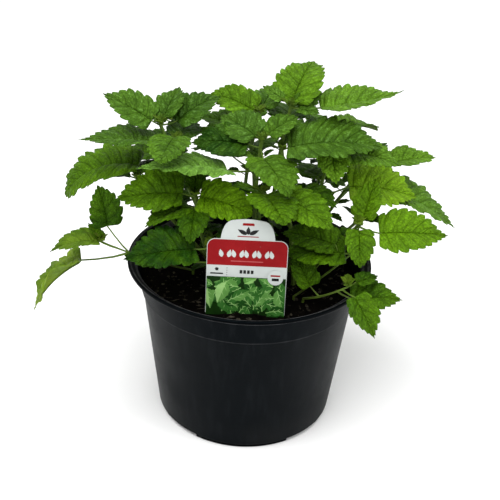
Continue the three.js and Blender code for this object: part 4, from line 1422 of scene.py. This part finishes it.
def add_area_light(name, spot, target, size, power, colour=(1, 1, 1)):
    deselect_all()
    bpy.ops.object.light_add(type="AREA", location=spot)
    light = bpy.context.object
    light.name = name
    light.rotation_euler = (Vector(target) - Vector(spot)).to_track_quat("-Z", "Y").to_euler()
    light.data.shape = "RECTANGLE"
    light.data.size, light.data.size_y = size
    light.data.energy = power
    light.data.color = colour


def make_floor(settings):
    deselect_all()
    bpy.ops.mesh.primitive_plane_add(size=12)
    floor = bpy.context.object
    floor.name = "studio_floor"
    material, tree = new_material("studio_floor")
    broad = use_group(tree, "mottle", Broad=3.0, Fine=40.0)["Broad"]
    colour = blend_colours(tree, broad, settings.floor, FLOOR_SHADE)
    dress(floor, finish_material(material, colour, 0.9, 0.1))


def make_world():
    world = bpy.data.worlds.new("studio")
    world.use_nodes = True
    background = world.node_tree.nodes["Background"]
    background.inputs["Color"].default_value = (1.0, 1.0, 1.0, 1.0)
    background.inputs["Strength"].default_value = 0.55
    bpy.context.scene.world = world
    bpy.context.scene.view_settings.view_transform = "Standard"


# Operators

class HERB_OT_stage(bpy.types.Operator):
    """Make the floor, the lights, the surroundings and the camera"""
    bl_idname = "herb.stage"
    bl_label = "Make Stage"

    def execute(self, context):
        settings = context.scene.herb_stage
        make_floor(settings)
        make_world()
        add_area_light("light_top", (-0.3, -0.5, 1.5), (0, 0, 0.12), (1.6, 1.6), 34)
        add_area_light("light_back", (0.7, 2.2, 1.6), (0.6, 2.0, 0), (3.0, 2.0), 22)
        add_area_light("light_right", (1.1, -0.35, 0.55), (0, 0, 0.1), (0.5, 0.9), 5)
        make_camera(settings)
        return {"FINISHED"}


class HERB_OT_pot(bpy.types.Operator):
    """Make the nursery pot with its rim, collar, feet and drain holes"""
    bl_idname = "herb.pot"
    bl_label = "Make Pot"

    def execute(self, context):
        make_pot(context.scene.herb_pot)
        return {"FINISHED"}


class HERB_OT_soil(bpy.types.Operator):
    """Make the lumpy peat and the bark and fibre bits on it"""
    bl_idname = "herb.soil"
    bl_label = "Make Soil"

    def execute(self, context):
        make_soil(context.scene.herb_soil)
        make_bits(context.scene.herb_soil)
        return {"FINISHED"}


class HERB_OT_label(bpy.types.Operator):
    """Give the plant label its plastic and its printed bands, signs and leaf picture"""
    bl_idname = "herb.label"
    bl_label = "Make Label"

    def execute(self, context):
        make_label(context.scene.herb_label)
        return {"FINISHED"}


class HERB_OT_stems(bpy.types.Operator):
    """Make every leafy stem with its petioles, toothed leaves and crinkled tip leaves"""
    bl_idname = "herb.stems"
    bl_label = "Make Leafy Stems"

    def execute(self, context):
        settings = context.scene.herb_leaf
        looks = {
            "upper": make_leaf_upper(settings),
            "under": make_leaf_under(settings),
            "stem": make_stem_material(settings),
        }
        profile = stem_profile()
        blanks = {}
        clouds = {name: stem_cloud(stem) for name, stem in STEMS.items()}
        for name, stem in STEMS.items():
            make_leafy_stem(name, stem, settings, profile, blanks, looks, clouds)
        for blank in blanks.values():
            bpy.data.objects.remove(blank)
        bpy.data.objects.remove(profile)
        return {"FINISHED"}


class HERB_PT_panel(bpy.types.Panel):
    bl_idname = "HERB_PT_panel"
    bl_label = "Potted Herb"
    bl_space_type = "VIEW_3D"
    bl_region_type = "UI"
    bl_category = "Herb"

    def draw(self, context):
        for operator, settings in PANEL_ROWS:
            box = self.layout.box()
            box.operator(operator)
            group = getattr(context.scene, settings)
            for name in group.__annotations__:
                box.prop(group, name)


SETTINGS = {
    "herb_pot": HerbPotSettings,
    "herb_soil": HerbSoilSettings,
    "herb_label": HerbLabelSettings,
    "herb_leaf": HerbLeafSettings,
    "herb_stage": HerbStageSettings,
}
OPERATORS = (HERB_OT_stage, HERB_OT_pot, HERB_OT_soil, HERB_OT_label, HERB_OT_stems)
PANEL_ROWS = (
    ("herb.stage", "herb_stage"),
    ("herb.pot", "herb_pot"),
    ("herb.soil", "herb_soil"),
    ("herb.label", "herb_label"),
    ("herb.stems", "herb_leaf"),
)


def register():
    for name, group in SETTINGS.items():
        bpy.utils.register_class(group)
        setattr(bpy.types.Scene, name, bpy.props.PointerProperty(type=group))
    for operator in OPERATORS:
        bpy.utils.register_class(operator)
    bpy.utils.register_class(HERB_PT_panel)


def unregister():
    bpy.utils.unregister_class(HERB_PT_panel)
    for operator in reversed(OPERATORS):
        bpy.utils.unregister_class(operator)
    for name, group in SETTINGS.items():
        delattr(bpy.types.Scene, name)
        bpy.utils.unregister_class(group)


def main():
    register()
    make_mottle_group()
    make_specks_group()
    make_veins_group()
    bpy.ops.herb.stage()
    bpy.ops.herb.pot()
    bpy.ops.herb.soil()
    bpy.ops.herb.label()
    bpy.ops.herb.stems()


if __name__ == "__main__":
    main()
